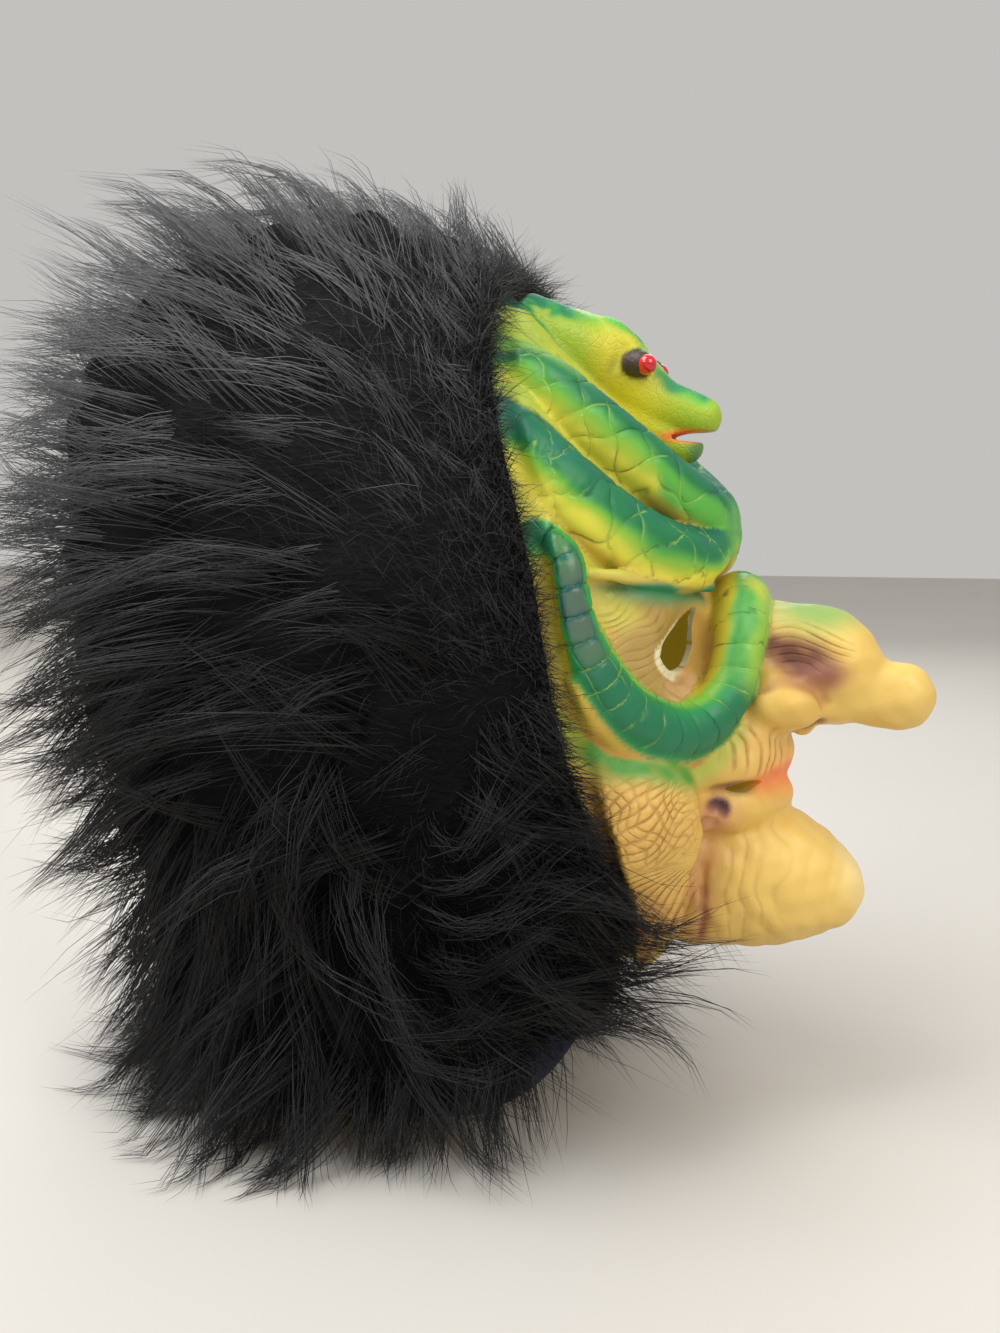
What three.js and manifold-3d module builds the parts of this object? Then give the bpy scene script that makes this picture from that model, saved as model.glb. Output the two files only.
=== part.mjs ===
import * as THREE from 'three';
import { mergeVertices } from 'three/addons/utils/BufferGeometryUtils.js';
import Module from 'manifold-3d';

// Witch mask: a moulded vinyl face with a snake coiled over the brow, sewn to a
// hood of long black pile.  Millimetres, +Z up, the face looks along -Y, +X is the
// wearer's left.  The origin is the inside of the hood's crown, where the mask
// sits on the head.  Tables use: side = |x|, fore = -y, up = z.

// ---- driving dimensions -------------------------------------------------------
const VINYL = 2.5;            // wall of the moulded face
const CLOTH = 1.6;            // wall of the hood's knitted backing
const CLOTH_EASE = 1.3;       // backing stands this far off the head form
const PILE_GAP = 0.35;        // backing to pile
const SEAM_GAP = 0.35;        // face to backing
const LAP = 11;               // how far the face runs back under the hood
const HEAD_SQUARE = 2.3;      // squareness of the head's level sections
const FACET = 9.0;            // facet size on the face
const GRID_SHIFT = 4.513;     // where the facets start, off the symmetry plane
const BEAD_R = 3.4;           // snake's eye bead
const BEAD_STAND = 2.2;       // bead centre above the snake's skin
const BEAD_GAP = 0.35;
const HEM = -285;             // lower edge of the backing
const HOOD_SEGMENTS = 28;
const BROW_SINK = 9;          // the brow lies this much below the head form, under the coils
const UNDER_HOOD = 1.5;       // the face is this much below the head form where the hood covers it
const SNAKE_BLEND = 8;        // fillet between snake and skin
const FACE_BLEND = 8;         // fillet between the features of the face

// Head form: a level section at each height.
const HEAD = [
  { up: 0, back: 1, front: 1, half: 1 },
  { up: -3, back: 30, front: 27, half: 27 },
  { up: -10, back: 54, front: 47, half: 47 },
  { up: -25, back: 77, front: 76, half: 66 },
  { up: -50, back: 92, front: 101, half: 79 },
  { up: -80, back: 98, front: 120, half: 84 },
  { up: -115, back: 98, front: 129, half: 85 },
  { up: -150, back: 93, front: 131, half: 84 },
  { up: -185, back: 82, front: 130, half: 81 },
  { up: -220, back: 72, front: 123, half: 77 },
  { up: -250, back: 68, front: 108, half: 75 },
  { up: -300, back: 68, front: 98, half: 76 },
];

// Front edge of the hood, seen from the side.
const HOOD_EDGE = [
  { up: 12, fore: 53 }, { up: -12, fore: 57 }, { up: -33, fore: 62 }, { up: -55, fore: 66.5 },
  { up: -85, fore: 74 }, { up: -110, fore: 80 }, { up: -130, fore: 83 }, { up: -155, fore: 87 },
  { up: -176, fore: 92 }, { up: -195, fore: 98 }, { up: -218, fore: 102 }, { up: -243, fore: 100 },
  { up: -262, fore: 92 }, { up: -277, fore: 80 }, { up: -286, fore: 62 },
];

// The snake: centre line and radius of each stretch.
const COIL = [   // from under the hood, over the temple, round a hairpin and back
  { side: 55, fore: 44, up: -40, r: 7 }, { side: 54, fore: 60, up: -43, r: 9 },
  { side: 49, fore: 75, up: -49, r: 10 }, { side: 43.5, fore: 88, up: -59.5, r: 10 },
  { side: 35.5, fore: 100, up: -69.5, r: 10 }, { side: 27, fore: 110.5, up: -79, r: 10 },
  { side: 18, fore: 119, up: -86, r: 9.8 }, { side: 10.5, fore: 123.5, up: -90.5, r: 9.4 },
  { side: 9.3, fore: 124.5, up: -97, r: 9.2 }, { side: 15, fore: 122.5, up: -102, r: 9.8 },
  { side: 25, fore: 117.5, up: -104, r: 11 }, { side: 39, fore: 106.5, up: -100, r: 12 },
  { side: 49.5, fore: 95, up: -92, r: 12.3 }, { side: 56.5, fore: 85, up: -82.5, r: 12 },
  { side: 60, fore: 74.5, up: -72, r: 11 }, { side: 62, fore: 62, up: -62, r: 9 },
  { side: 63, fore: 48, up: -55, r: 6 },
];
const TAIL = [   // round the eye and over the bridge of the nose
  { side: 66, fore: 76, up: -92, r: 4.5 }, { side: 67.8, fore: 86.5, up: -103, r: 5.5 },
  { side: 68.5, fore: 88.2, up: -112.5, r: 5.8 }, { side: 67.5, fore: 89.7, up: -121.7, r: 6.2 },
  { side: 65.2, fore: 92.7, up: -131, r: 6.6 }, { side: 61.8, fore: 97.2, up: -140.5, r: 7.2 },
  { side: 56.5, fore: 103.3, up: -150, r: 8 }, { side: 48.5, fore: 110.5, up: -157.5, r: 9 },
  { side: 39, fore: 118, up: -160.5, r: 9 }, { side: 30, fore: 126, up: -157, r: 8.7 },
  { side: 23, fore: 133, up: -147.5, r: 8.3 }, { side: 19.2, fore: 135.5, up: -136, r: 8.2 },
  { side: 16, fore: 136, up: -127, r: 8.8 }, { side: 9, fore: 135, up: -121, r: 9.8 },
  { side: 0, fore: 134.5, up: -119.3, r: 10.4 },
];
const SNAKE_HEAD = [
  { side: 0, fore: 40, up: -22, r: 9 }, { side: 0, fore: 56, up: -25, r: 11 },
  { side: 0, fore: 70, up: -31, r: 13 }, { side: 0, fore: 84, up: -36, r: 14 },
  { side: 0, fore: 97, up: -41, r: 12.8 }, { side: 0, fore: 108, up: -47, r: 10 },
  { side: 0, fore: 119, up: -53, r: 7.4 },
];
const SNAKE_JAW = [
  { side: 0, fore: 88, up: -52, r: 9 }, { side: 0, fore: 104, up: -60, r: 7.6 },
  { side: 0, fore: 115.5, up: -67, r: 6 },
];
const BEAD = { side: 12, fore: 103, up: -39.5 };   // aimed at; the bead is set on the skin there

// The face's features: capsules between two stations, and rounded masses.
const NOSE = [
  { side: 0, fore: 122, up: -136, r: 19 }, { side: 0, fore: 146, up: -139, r: 19 },
  { side: 0, fore: 166, up: -141.5, r: 18.5 }, { side: 0, fore: 177, up: -146.5, r: 14.8 },
  { side: 0, fore: 187, up: -151, r: 11.8 },
];
const NOSE_NARROW = 0.82;     // nose's half width over its half height
const NOSTRIL = { side: 14, fore: 151, up: -152.5, r: 10.5 };
const CHIN = [
  { side: 0, fore: 124, up: -214, r: 29 }, { side: 0, fore: 140, up: -214.5, r: 26.5 },
  { side: 0, fore: 155, up: -214.5, r: 23 },
];
const LOWER_LIP = [
  { side: 27, fore: 126, up: -187, r: 7.5 }, { side: 16, fore: 139, up: -187, r: 8.5 },
  { side: 0, fore: 145, up: -186, r: 8.5 },
];
const MASSES = [
  { name: 'muzzle', side: 0, fore: 127, up: -171, rSide: 31, rFore: 25, rUp: 20, blend: 11 },
  { name: 'cheek', side: 43, fore: 98, up: -192, rSide: 23, rFore: 27, rUp: 34, blend: 7 },
];
const SOCKET = { side: 37, fore: 127, up: -132, rSide: 23, rFore: 13, rUp: 17, blend: 7 };

// Eye hole: a teardrop in a plane turned outwards; across is positive to the outside.
const EYE = { side: 32, fore: 119, turn: 40, depth: 46 };
const EYE_OUTLINE = [
  { across: 13, up: -134.6 }, { across: 4.5, up: -129.2 }, { across: -3.5, up: -124.2 },
  { across: -7.2, up: -122 }, { across: -8.4, up: -128 }, { across: -8.2, up: -135 },
  { across: -4, up: -140 }, { across: 3.5, up: -140.6 }, { across: 9, up: -138.2 },
];
// Mouth slit at each corner, seen from the front.
const SLIT_OUTLINE = [
  { side: 13, up: -178.4 }, { side: 20, up: -177.2 }, { side: 27, up: -178.2 },
  { side: 29.5, up: -180.4 }, { side: 27, up: -181.8 }, { side: 20, up: -180.6 },
];
const SLIT_FORE = { from: 112, to: 158 };

// Lower rim of the face, under the jaw, seen from the side.
const JAW_CUT = [{ fore: 60, up: -231 }, { fore: 96, up: -236 }, { fore: 116, up: -243 }, { fore: 123, up: -247 }];

// Pile: how far its outer form stands off the backing.
const PILE = { edge: 7, ramp: 58, crown: 25, back: 33, flank: 22, low: 26, tuft: 0.13 };
const PILE_LEVELS = [
  { up: -2 }, { up: -9 }, { up: -21 }, { up: -39 }, { up: -62 }, { up: -90 }, { up: -120 },
  { up: -150 }, { up: -180 }, { up: -210 }, { up: -240 }, { up: -268 },
];
const PILE_HEM = { up: -293, flare: 3 };
const LOCKS = [   // longer locks that splay from the hem; bearing from the front, both sides alike
  { bearing: 80, spread: 9, reach: 18 }, { bearing: 104, spread: 8, reach: 12 }, { bearing: 146, spread: 9, reach: 12 },
];

// ---- helpers ------------------------------------------------------------------
const wasm = await Module();
wasm.setup();

const smoothstep = (a, b, v) => {
  const t = Math.min(1, Math.max(0, (v - a) / (b - a)));
  return t * t * (3 - 2 * t);
};
const softMin = (a, b, k) => {
  const h = Math.max(k - Math.abs(a - b), 0) / k;
  return Math.min(a, b) - h * h * k * 0.25;
};
const softMax = (a, b, k) => -softMin(-a, -b, k);

// Monotone interpolation of one column of a table that is ordered by another.
function column(table, key, by) {
  const xs = table.map((row) => row[by]);
  const ys = table.map((row) => row[key]);
  const sign = xs[1] > xs[0] ? 1 : -1;
  const n = xs.length;
  const slope = [];
  for (let i = 0; i < n - 1; i++) slope.push((ys[i + 1] - ys[i]) / (xs[i + 1] - xs[i]));
  const tangent = xs.map((_, i) => {
    if (i === 0) return slope[0];
    if (i === n - 1) return slope[n - 2];
    return slope[i - 1] * slope[i] <= 0 ? 0 : (2 * slope[i - 1] * slope[i]) / (slope[i - 1] + slope[i]);
  });
  return (v) => {
    if ((v - xs[0]) * sign <= 0) return ys[0];
    if ((v - xs[n - 1]) * sign >= 0) return ys[n - 1];
    let i = 0;
    while ((v - xs[i + 1]) * sign > 0) i++;
    const h = xs[i + 1] - xs[i];
    const t = (v - xs[i]) / h;
    const t2 = t * t, t3 = t2 * t;
    return ys[i] * (2 * t3 - 3 * t2 + 1) + h * tangent[i] * (t3 - 2 * t2 + t)
      + ys[i + 1] * (3 * t2 - 2 * t3) + h * tangent[i + 1] * (t3 - t2);
  };
}

const headBack = column(HEAD, 'back', 'up');
const headFront = column(HEAD, 'front', 'up');
const headHalf = column(HEAD, 'half', 'up');
const hoodEdge = column(HOOD_EDGE, 'fore', 'up');

function headRatio(side, fore, up) {
  const z = Math.min(up, -0.05);
  const a = fore > 0 ? headFront(z) : headBack(z);
  const s = Math.abs(side) / headHalf(z), p = Math.abs(fore) / a;
  return Math.pow(Math.pow(s, HEAD_SQUARE) + Math.pow(p, HEAD_SQUARE), 1 / HEAD_SQUARE);
}
function headSlope(side, fore, up) {
  const e = 0.5;
  return new THREE.Vector3(
    headRatio(side + e, fore, up) - headRatio(side - e, fore, up),
    headRatio(side, fore + e, up) - headRatio(side, fore - e, up),
    headRatio(side, fore, up + e) - headRatio(side, fore, up - e),
  ).divideScalar(2 * e);
}
const headDistance = (side, fore, up) =>
  (headRatio(side, fore, up) - 1) / Math.max(headSlope(side, fore, up).length(), 1e-4);

// A smooth chain of round stations as short straight stretches.
function chain(rows, perSpan = 5) {
  const line = new THREE.CatmullRomCurve3(rows.map((r) => new THREE.Vector3(r.side, r.fore, r.up)), false, 'centripetal');
  const out = [];
  const last = rows.length - 1;
  for (let i = 0; i <= last * perSpan; i++) {
    const t = i / (last * perSpan);
    const p = line.getPoint(t);
    const k = Math.min(last - 1, Math.floor(t * last));
    const f = t * last - k;
    out.push({ side: p.x, fore: p.y, up: p.z, r: rows[k].r * (1 - f) + rows[k + 1].r * f });
  }
  return out;
}
function chainDistance(stations, side, fore, up) {
  let best = Infinity;
  for (let i = 0; i < stations.length - 1; i++) {
    const a = stations[i], b = stations[i + 1];
    const dx = b.side - a.side, dy = b.fore - a.fore, dz = b.up - a.up;
    const px = side - a.side, py = fore - a.fore, pz = up - a.up;
    const t = Math.min(1, Math.max(0, (px * dx + py * dy + pz * dz) / (dx * dx + dy * dy + dz * dz)));
    const d = Math.hypot(px - dx * t, py - dy * t, pz - dz * t) - (a.r + (b.r - a.r) * t);
    if (d < best) best = d;
  }
  return best;
}
function massDistance(m, side, fore, up) {
  const a = (side - m.side) / m.rSide, b = (fore - m.fore) / m.rFore, c = (up - m.up) / m.rUp;
  const k = Math.hypot(a, b, c);
  const g = Math.hypot(a / m.rSide, b / m.rFore, c / m.rUp);
  return g < 1e-6 ? -Math.min(m.rSide, m.rFore, m.rUp) : (k * (k - 1)) / g;
}

const HAIRPIN = 9;            // row where the coil turns back
const coil = chain(COIL.slice(0, HAIRPIN)), coilBack = chain(COIL.slice(HAIRPIN - 1)), tail = chain(TAIL), snakeHead = chain(SNAKE_HEAD), snakeJaw = chain(SNAKE_JAW);
const nose = chain(NOSE), chin = chain(CHIN), lowerLip = chain(LOWER_LIP);

// Signed distance to the outside of the moulded face.
function faceDistance(x, fore, up) {
  const side = Math.abs(x);
  const brow = smoothstep(-128, -108, up) * smoothstep(4, 22, fore - hoodEdge(up));
  const bare = headDistance(side, fore, up);
  let d = bare + BROW_SINK * brow;
  for (const m of MASSES) d = softMin(d, massDistance(m, side, fore, up), m.blend);
  d = softMin(d, chainDistance(chin, side, fore, up), 6);
  d = softMin(d, chainDistance(lowerLip, side, fore, up), 4);
  d = softMin(d, chainDistance(nose, side / NOSE_NARROW, fore, up) * NOSE_NARROW, FACE_BLEND);
  d = softMin(d, Math.hypot(side - NOSTRIL.side, fore - NOSTRIL.fore, up - NOSTRIL.up) - NOSTRIL.r, 5);
  d = softMax(d, -massDistance(SOCKET, side, fore, up), SOCKET.blend);
  let snake = softMin(chainDistance(coil, side, fore, up), chainDistance(coilBack, side, fore, up), SNAKE_BLEND);
  for (const part of [tail, snakeHead, snakeJaw]) snake = softMin(snake, chainDistance(part, side, fore, up), SNAKE_BLEND);
  d = softMin(d, snake, SNAKE_BLEND);
  // everything runs flat where the hood's edge covers it
  const covered = 1 - smoothstep(5, 17, fore - hoodEdge(up));
  return d + (bare + UNDER_HOOD - d) * covered;
}

// Slide a point to a given depth under a distance field's surface.
function settle(field, p, depth, most) {
  for (let pass = 0; pass < 4; pass++) {
    const e = 0.4, d = field(...p) + depth;
    const g = [0, 1, 2].map((n) => {
      const q = [...p], r = [...p];
      q[n] += e; r[n] -= e;
      return (field(...q) - field(...r)) / (2 * e);
    });
    const gg = g[0] * g[0] + g[1] * g[1] + g[2] * g[2];
    if (gg < 0.05) break;
    const reach = Math.min(1, (most * Math.sqrt(gg)) / Math.max(Math.abs(d), 1e-9));
    for (let n = 0; n < 3; n++) p[n] -= (reach * d * g[n]) / gg;
  }
}
// A closed surface round the inside of a distance field, one vertex in each cell it crosses.
function surface(field, low, high, step) {
  const count = low.map((v, i) => Math.ceil((high[i] - v) / step) + 1);
  const at = (i, j, k) => (k * count[1] + j) * count[0] + i;
  const value = new Float64Array(count[0] * count[1] * count[2]);
  for (let k = 0; k < count[2]; k++) for (let j = 0; j < count[1]; j++) for (let i = 0; i < count[0]; i++) {
    value[at(i, j, k)] = field(low[0] + i * step, low[1] + j * step, low[2] + k * step);
  }
  const vertex = new Int32Array(value.length).fill(-1);
  const position = [];
  for (let k = 0; k < count[2] - 1; k++) for (let j = 0; j < count[1] - 1; j++) for (let i = 0; i < count[0] - 1; i++) {
    const corner = [];
    for (let c = 0; c < 8; c++) corner.push(value[at(i + (c & 1), j + ((c >> 1) & 1), k + (c >> 2))]);
    const inside = corner.filter((v) => v < 0).length;
    if (inside === 0 || inside === 8) continue;
    const sum = [0, 0, 0];
    let hits = 0;
    for (let a = 0; a < 8; a++) for (let bit = 1; bit < 8; bit <<= 1) {
      if (a & bit) continue;
      const b = a | bit;
      if ((corner[a] < 0) === (corner[b] < 0)) continue;
      const t = corner[a] / (corner[a] - corner[b]);
      for (let n = 0; n < 3; n++) {
        const pa = (a >> n) & 1, pb = (b >> n) & 1;
        sum[n] += pa + (pb - pa) * t;
      }
      hits++;
    }
    const p = sum.map((v, n) => low[n] + ([i, j, k][n] + v / hits) * step);
    settle(field, p, 0, 0.3 * step);
    vertex[at(i, j, k)] = position.length / 3;
    position.push(...p);
  }
  const index = [];
  const quad = (a, b, c, d, flip) => (flip ? index.push(a, c, b, a, d, c) : index.push(a, b, c, a, c, d));
  for (let k = 0; k < count[2] - 1; k++) for (let j = 0; j < count[1] - 1; j++) for (let i = 0; i < count[0] - 1; i++) {
    const here = value[at(i, j, k)] < 0;
    if (j && k && here !== value[at(i + 1, j, k)] < 0) {
      quad(vertex[at(i, j - 1, k - 1)], vertex[at(i, j, k - 1)], vertex[at(i, j, k)], vertex[at(i, j - 1, k)], !here);
    }
    if (i && k && here !== value[at(i, j + 1, k)] < 0) {
      quad(vertex[at(i - 1, j, k - 1)], vertex[at(i - 1, j, k)], vertex[at(i, j, k)], vertex[at(i, j, k - 1)], !here);
    }
    if (i && j && here !== value[at(i, j, k + 1)] < 0) {
      quad(vertex[at(i - 1, j - 1, k)], vertex[at(i, j - 1, k)], vertex[at(i, j, k)], vertex[at(i - 1, j, k)], !here);
    }
  }
  return { position, index };
}
// The same surface, every vertex moved inwards by the wall along the facets' mean direction.
function sunk({ position, index }, wall) {
  const g = new THREE.BufferGeometry();
  g.setAttribute('position', new THREE.Float32BufferAttribute(position, 3));
  g.setIndex(index);
  g.computeVertexNormals();
  const normal = g.attributes.normal.array;
  return { position: position.map((v, n) => v - wall * normal[n]), index };
}
// Fields are laid out as (x, fore, up): turn fore into -y and keep the faces outwards.
function upright({ position, index }) {
  const turned = index.map((_, n) => index[n - (n % 3) + [0, 2, 1][n % 3]]);
  return { position: position.map((v, n) => (n % 3 === 1 ? -v : v)), index: turned };
}

function solid({ position, index }) {
  return new wasm.Manifold(new wasm.Mesh({
    numProp: 3, vertProperties: new Float32Array(position), triVerts: new Uint32Array(index),
  }));
}
function solidOf(geometry) {
  const g = geometry.index ? geometry.clone() : geometry.clone();
  g.deleteAttribute('normal');
  g.deleteAttribute('uv');
  const m = mergeVertices(g, 1e-4);
  return solid({ position: m.attributes.position.array, index: m.index.array });
}
function geometryOf(body) {
  const m = body.getMesh();
  const g = new THREE.BufferGeometry();
  g.setAttribute('position', new THREE.BufferAttribute(new Float32Array(m.vertProperties), 3));
  g.setIndex(new THREE.BufferAttribute(new Uint32Array(m.triVerts), 1));
  g.computeVertexNormals();
  return g;
}

// A prism across the mask, from an outline seen from the side.
function prismAcross(outline, half) {
  const shape = new THREE.Shape(outline.map((p) => new THREE.Vector2(p.fore, p.up)));
  const g = new THREE.ExtrudeGeometry(shape, { depth: 2 * half, bevelEnabled: false, steps: 1 });
  g.applyMatrix4(new THREE.Matrix4().set(0, 0, -1, half, -1, 0, 0, 0, 0, 1, 0, 0, 0, 0, 0, 1));
  return solidOf(g);
}
// A prism through the face: outline in (across, up), pushed out along a level direction.
function prismOut(points, origin, turn, from, to) {
  const shape = new THREE.Shape(points.map((p) => new THREE.Vector2(p.x, p.y)));
  const g = new THREE.ExtrudeGeometry(shape, { depth: to - from, bevelEnabled: false, steps: 1 });
  const c = Math.cos(turn), s = Math.sin(turn);
  // local (across, up, out) -> (x, y, z), with across = (c, s) and out = (s, -c) in plan
  g.applyMatrix4(new THREE.Matrix4().set(c, 0, s, origin.x + s * from, s, 0, -c, origin.y - c * from, 0, 1, 0, 0, 0, 0, 0, 1));
  return solidOf(g);
}
const rounded = (points, count) =>
  new THREE.CatmullRomCurve3(points.map(([x, y]) => new THREE.Vector3(x, y, 0)), true, 'centripetal')
    .getPoints(count).slice(0, -1);

// ---- face ---------------------------------------------------------------------
const FACE_LOW = [-104, 32, -262], FACE_HIGH = [104, 206, -1];
const bounded = (x, fore, up) => Math.max(faceDistance(x, fore, up), 37 - fore, -256 - up);
const skinMesh = surface(bounded, FACE_LOW.map((v) => v - GRID_SHIFT), FACE_HIGH, FACET);
const outside = solid(upright(skinMesh));
const inside = solid(upright(sunk(skinMesh, VINYL)));

const rimLine = [];
for (let up = -8; up >= -230; up -= 12) rimLine.push({ fore: hoodEdge(up) - LAP, up });
const behindFace = prismAcross([
  { fore: 0, up: 20 }, { fore: rimLine[0].fore, up: 20 }, ...rimLine,
  { fore: hoodEdge(-231) - LAP, up: -232 }, ...JAW_CUT.filter((p) => p.fore > hoodEdge(-231) - LAP + 2),
  { fore: 123, up: -300 }, { fore: 0, up: -300 },
], 140);

let face = outside.subtract(inside).subtract(behindFace);
for (const way of [1, -1]) {
  const eye = rounded(EYE_OUTLINE.map((p) => [way * p.across, p.up]), 22);
  face = face.subtract(prismOut(eye, { x: way * EYE.side, y: -EYE.fore }, way * EYE.turn * Math.PI / 180, -18, EYE.depth - 18));
  const slit = rounded(SLIT_OUTLINE.map((p) => [way * p.side, p.up]), 14);
  face = face.subtract(prismOut(slit, { x: 0, y: 0 }, 0, SLIT_FORE.from, SLIT_FORE.to));
}

// Beads: found where the snake's skin lies on the way out to the side.
let skin = 0;
while (faceDistance(BEAD.side + skin, BEAD.fore, BEAD.up) > 0 && skin > -12) skin -= 0.05;
while (faceDistance(BEAD.side + skin, BEAD.fore, BEAD.up) < 0 && skin < 12) skin += 0.05;
const beadCentre = (way) => new THREE.Vector3(way * (BEAD.side + skin + BEAD_STAND), -BEAD.fore, BEAD.up);
for (const way of [1, -1]) {
  const pocket = new THREE.SphereGeometry(BEAD_R + BEAD_GAP, 10, 6);
  pocket.translate(...beadCentre(way).toArray());
  face = face.subtract(solidOf(pocket));
}

// ---- hood ---------------------------------------------------------------------
// A pot: level rings on the head form, each pushed out along the form's own slope.
function pot(levels, off, bottom, centreOff) {
  const position = [0, 0, centreOff];
  const index = [];
  const n = HOOD_SEGMENTS;
  levels.forEach((row, r) => {
    for (let s = 0; s < n; s++) {
      const turn = (2 * Math.PI * s) / n;
      const angle = turn + 0.12 * Math.sin(4 * turn);      // closer at the rounded corners
      const cx = Math.sin(angle), cp = Math.cos(angle);
      const a = cp > 0 ? headFront(row.up) : headBack(row.up);
      const reach = Math.pow(Math.pow(Math.abs(cx) / headHalf(row.up), HEAD_SQUARE) + Math.pow(Math.abs(cp) / a, HEAD_SQUARE), -1 / HEAD_SQUARE);
      const x = cx * reach, fore = cp * reach;
      const g = headSlope(Math.abs(x), fore, row.up).normalize();
      if (x < 0) g.x = -g.x;
      if (row.level) { g.z = 0; g.normalize(); }
      const o = off(angle, row, fore, r);
      position.push(x + g.x * o, -(fore + g.y * o), row.up + (row.level ? 0 : g.z * o));
    }
  });
  for (let s = 0; s < n; s++) index.push(0, 1 + ((s + 1) % n), 1 + s);
  for (let r = 0; r < levels.length - 1; r++) for (let s = 0; s < n; s++) {
    const a = 1 + r * n + s, b = 1 + r * n + ((s + 1) % n), c = a + n, d = b + n;
    index.push(a, b, d, a, d, c);
  }
  const foot = position.length / 3;
  position.push(0, 0, bottom);
  const base = 1 + (levels.length - 1) * n;
  for (let s = 0; s < n; s++) index.push(foot, base + s, base + ((s + 1) % n));
  // rings run clockwise seen from above once fore becomes -y: turn the faces outwards
  const body = solid({ position, index });
  return body.volume() < 0 ? solid({ position, index: index.map((_, i, all) => all[i - (i % 3) + [0, 2, 1][i % 3]]) }) : body;
}
const levelsTo = (...feet) => [...PILE_LEVELS, ...feet.map((up) => ({ up, level: true }))];

const edgeLine = [];
for (let up = 60; up >= -286; up -= up > -12 ? 24 : 12) edgeLine.push({ fore: hoodEdge(up), up });
const faceOpening = prismAcross([...edgeLine, { fore: 62, up: -340 }, { fore: 260, up: -340 }, { fore: 260, up: 60 }], 180);

const backingIn = CLOTH_EASE, backingOut = CLOTH_EASE + CLOTH, pileIn = backingOut + PILE_GAP;
const wideOpening = prismAcross([...edgeLine.map((p) => ({ fore: p.fore + SEAM_GAP, up: p.up })),
  { fore: 62 + SEAM_GAP, up: -340 }, { fore: 260, up: -340 }, { fore: 260, up: 60 }], 180);
face = face.subtract(pot(levelsTo(HEM), () => backingOut + SEAM_GAP, HEM, backingOut + SEAM_GAP)
  .subtract(pot(levelsTo(HEM, -320), () => backingIn - SEAM_GAP, -320, backingIn - SEAM_GAP))
  .subtract(wideOpening));
const cloth = pot(levelsTo(HEM), () => backingOut, HEM, backingOut)
  .subtract(pot(levelsTo(HEM, -320), () => backingIn, -320, backingIn))
  .subtract(faceOpening);

function pileHeight(angle, row, fore, r) {
  const back = smoothstep(-0.1, 0.8, -Math.cos(angle));
  const crown = smoothstep(-70, -10, row.up);
  const low = smoothstep(-200, -270, row.up);
  let h = PILE.flank + (PILE.back - PILE.flank) * back;
  h += (PILE.crown - h) * crown;
  h += (PILE.low - h) * low;
  h *= 1 + PILE.tuft * (Math.sin(9 * angle + 1.9 * r) + 0.7 * Math.sin(14 * angle - 2.6 * r)) * (row.level ? 0.4 : 1);
  const behind = hoodEdge(row.up) - fore;
  const ramp = smoothstep(-4, PILE.ramp, behind);
  return pileIn + PILE.edge + (h - PILE.edge) * ramp;
}
function hemFlare(angle) {
  const bearing = Math.acos(Math.cos(angle)) * 180 / Math.PI;
  return LOCKS.reduce((sum, k) => sum + k.reach * Math.exp(-(((bearing - k.bearing) / k.spread) ** 2)), PILE_HEM.flare);
}
let pile = pot([...PILE_LEVELS, { up: PILE_HEM.up, level: true }],
  (a, row, fore, r) => pileHeight(a, row, fore, r) + (row.level ? hemFlare(a) : 0), PILE_HEM.up, pileIn + PILE.crown);
pile = pile.subtract(pot(levelsTo(HEM, -320), () => pileIn, -320, pileIn)).subtract(faceOpening);

// ---- assembly -----------------------------------------------------------------
const mask = new THREE.Group();
function piece(name, geometry, colour, roughness) {
  const m = new THREE.Mesh(geometry, new THREE.MeshStandardMaterial({ color: colour, roughness, metalness: 0 }));
  m.name = name;
  mask.add(m);
  return m;
}
piece('face_mask', geometryOf(face), 0xd9b861, 0.42);
for (const [name, way] of [['snake_eye_left', 1], ['snake_eye_right', -1]]) {
  const bead = piece(name, mergeVertices((() => {
    const g = new THREE.SphereGeometry(BEAD_R, 10, 6);
    g.deleteAttribute('normal');
    g.deleteAttribute('uv');
    return g;
  })(), 1e-4), 0xc81218, 0.12);
  bead.geometry.computeVertexNormals();
  bead.position.copy(beadCentre(way));
}
piece('hood_cloth', geometryOf(cloth), 0x10131f, 0.95);
piece('hood_fur', geometryOf(pile), 0x0d0d0f, 0.6);

export default mask;
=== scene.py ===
import math
import bpy
import numpy as np
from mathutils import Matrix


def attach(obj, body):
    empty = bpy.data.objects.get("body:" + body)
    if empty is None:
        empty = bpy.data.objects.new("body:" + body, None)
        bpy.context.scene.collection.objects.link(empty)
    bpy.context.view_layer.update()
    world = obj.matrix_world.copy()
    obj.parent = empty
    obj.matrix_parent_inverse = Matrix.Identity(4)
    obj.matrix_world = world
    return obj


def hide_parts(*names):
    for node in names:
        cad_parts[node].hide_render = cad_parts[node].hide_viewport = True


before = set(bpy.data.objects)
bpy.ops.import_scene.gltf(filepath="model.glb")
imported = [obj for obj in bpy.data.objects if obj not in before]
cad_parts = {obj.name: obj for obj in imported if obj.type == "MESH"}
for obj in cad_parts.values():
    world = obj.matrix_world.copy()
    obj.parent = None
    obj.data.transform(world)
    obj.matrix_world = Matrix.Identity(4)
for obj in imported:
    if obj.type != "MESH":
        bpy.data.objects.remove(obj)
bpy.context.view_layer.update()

SEED = 7

# Witch mask.  Shapes are worked out in millimetres as (side, fore, up): side = |x|,
# fore = -y, up = z, with the origin inside the hood's crown, and scaled to metres at the end.

# ---------------------------------------------------------------- camera, floor, light
scene = bpy.context.scene
scene.view_settings.view_transform = 'Standard'


def look_at(obj, target):
    from mathutils import Vector
    d = Vector(target) - obj.location
    obj.rotation_euler = d.to_track_quat('-Z', 'Y').to_euler()


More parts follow.
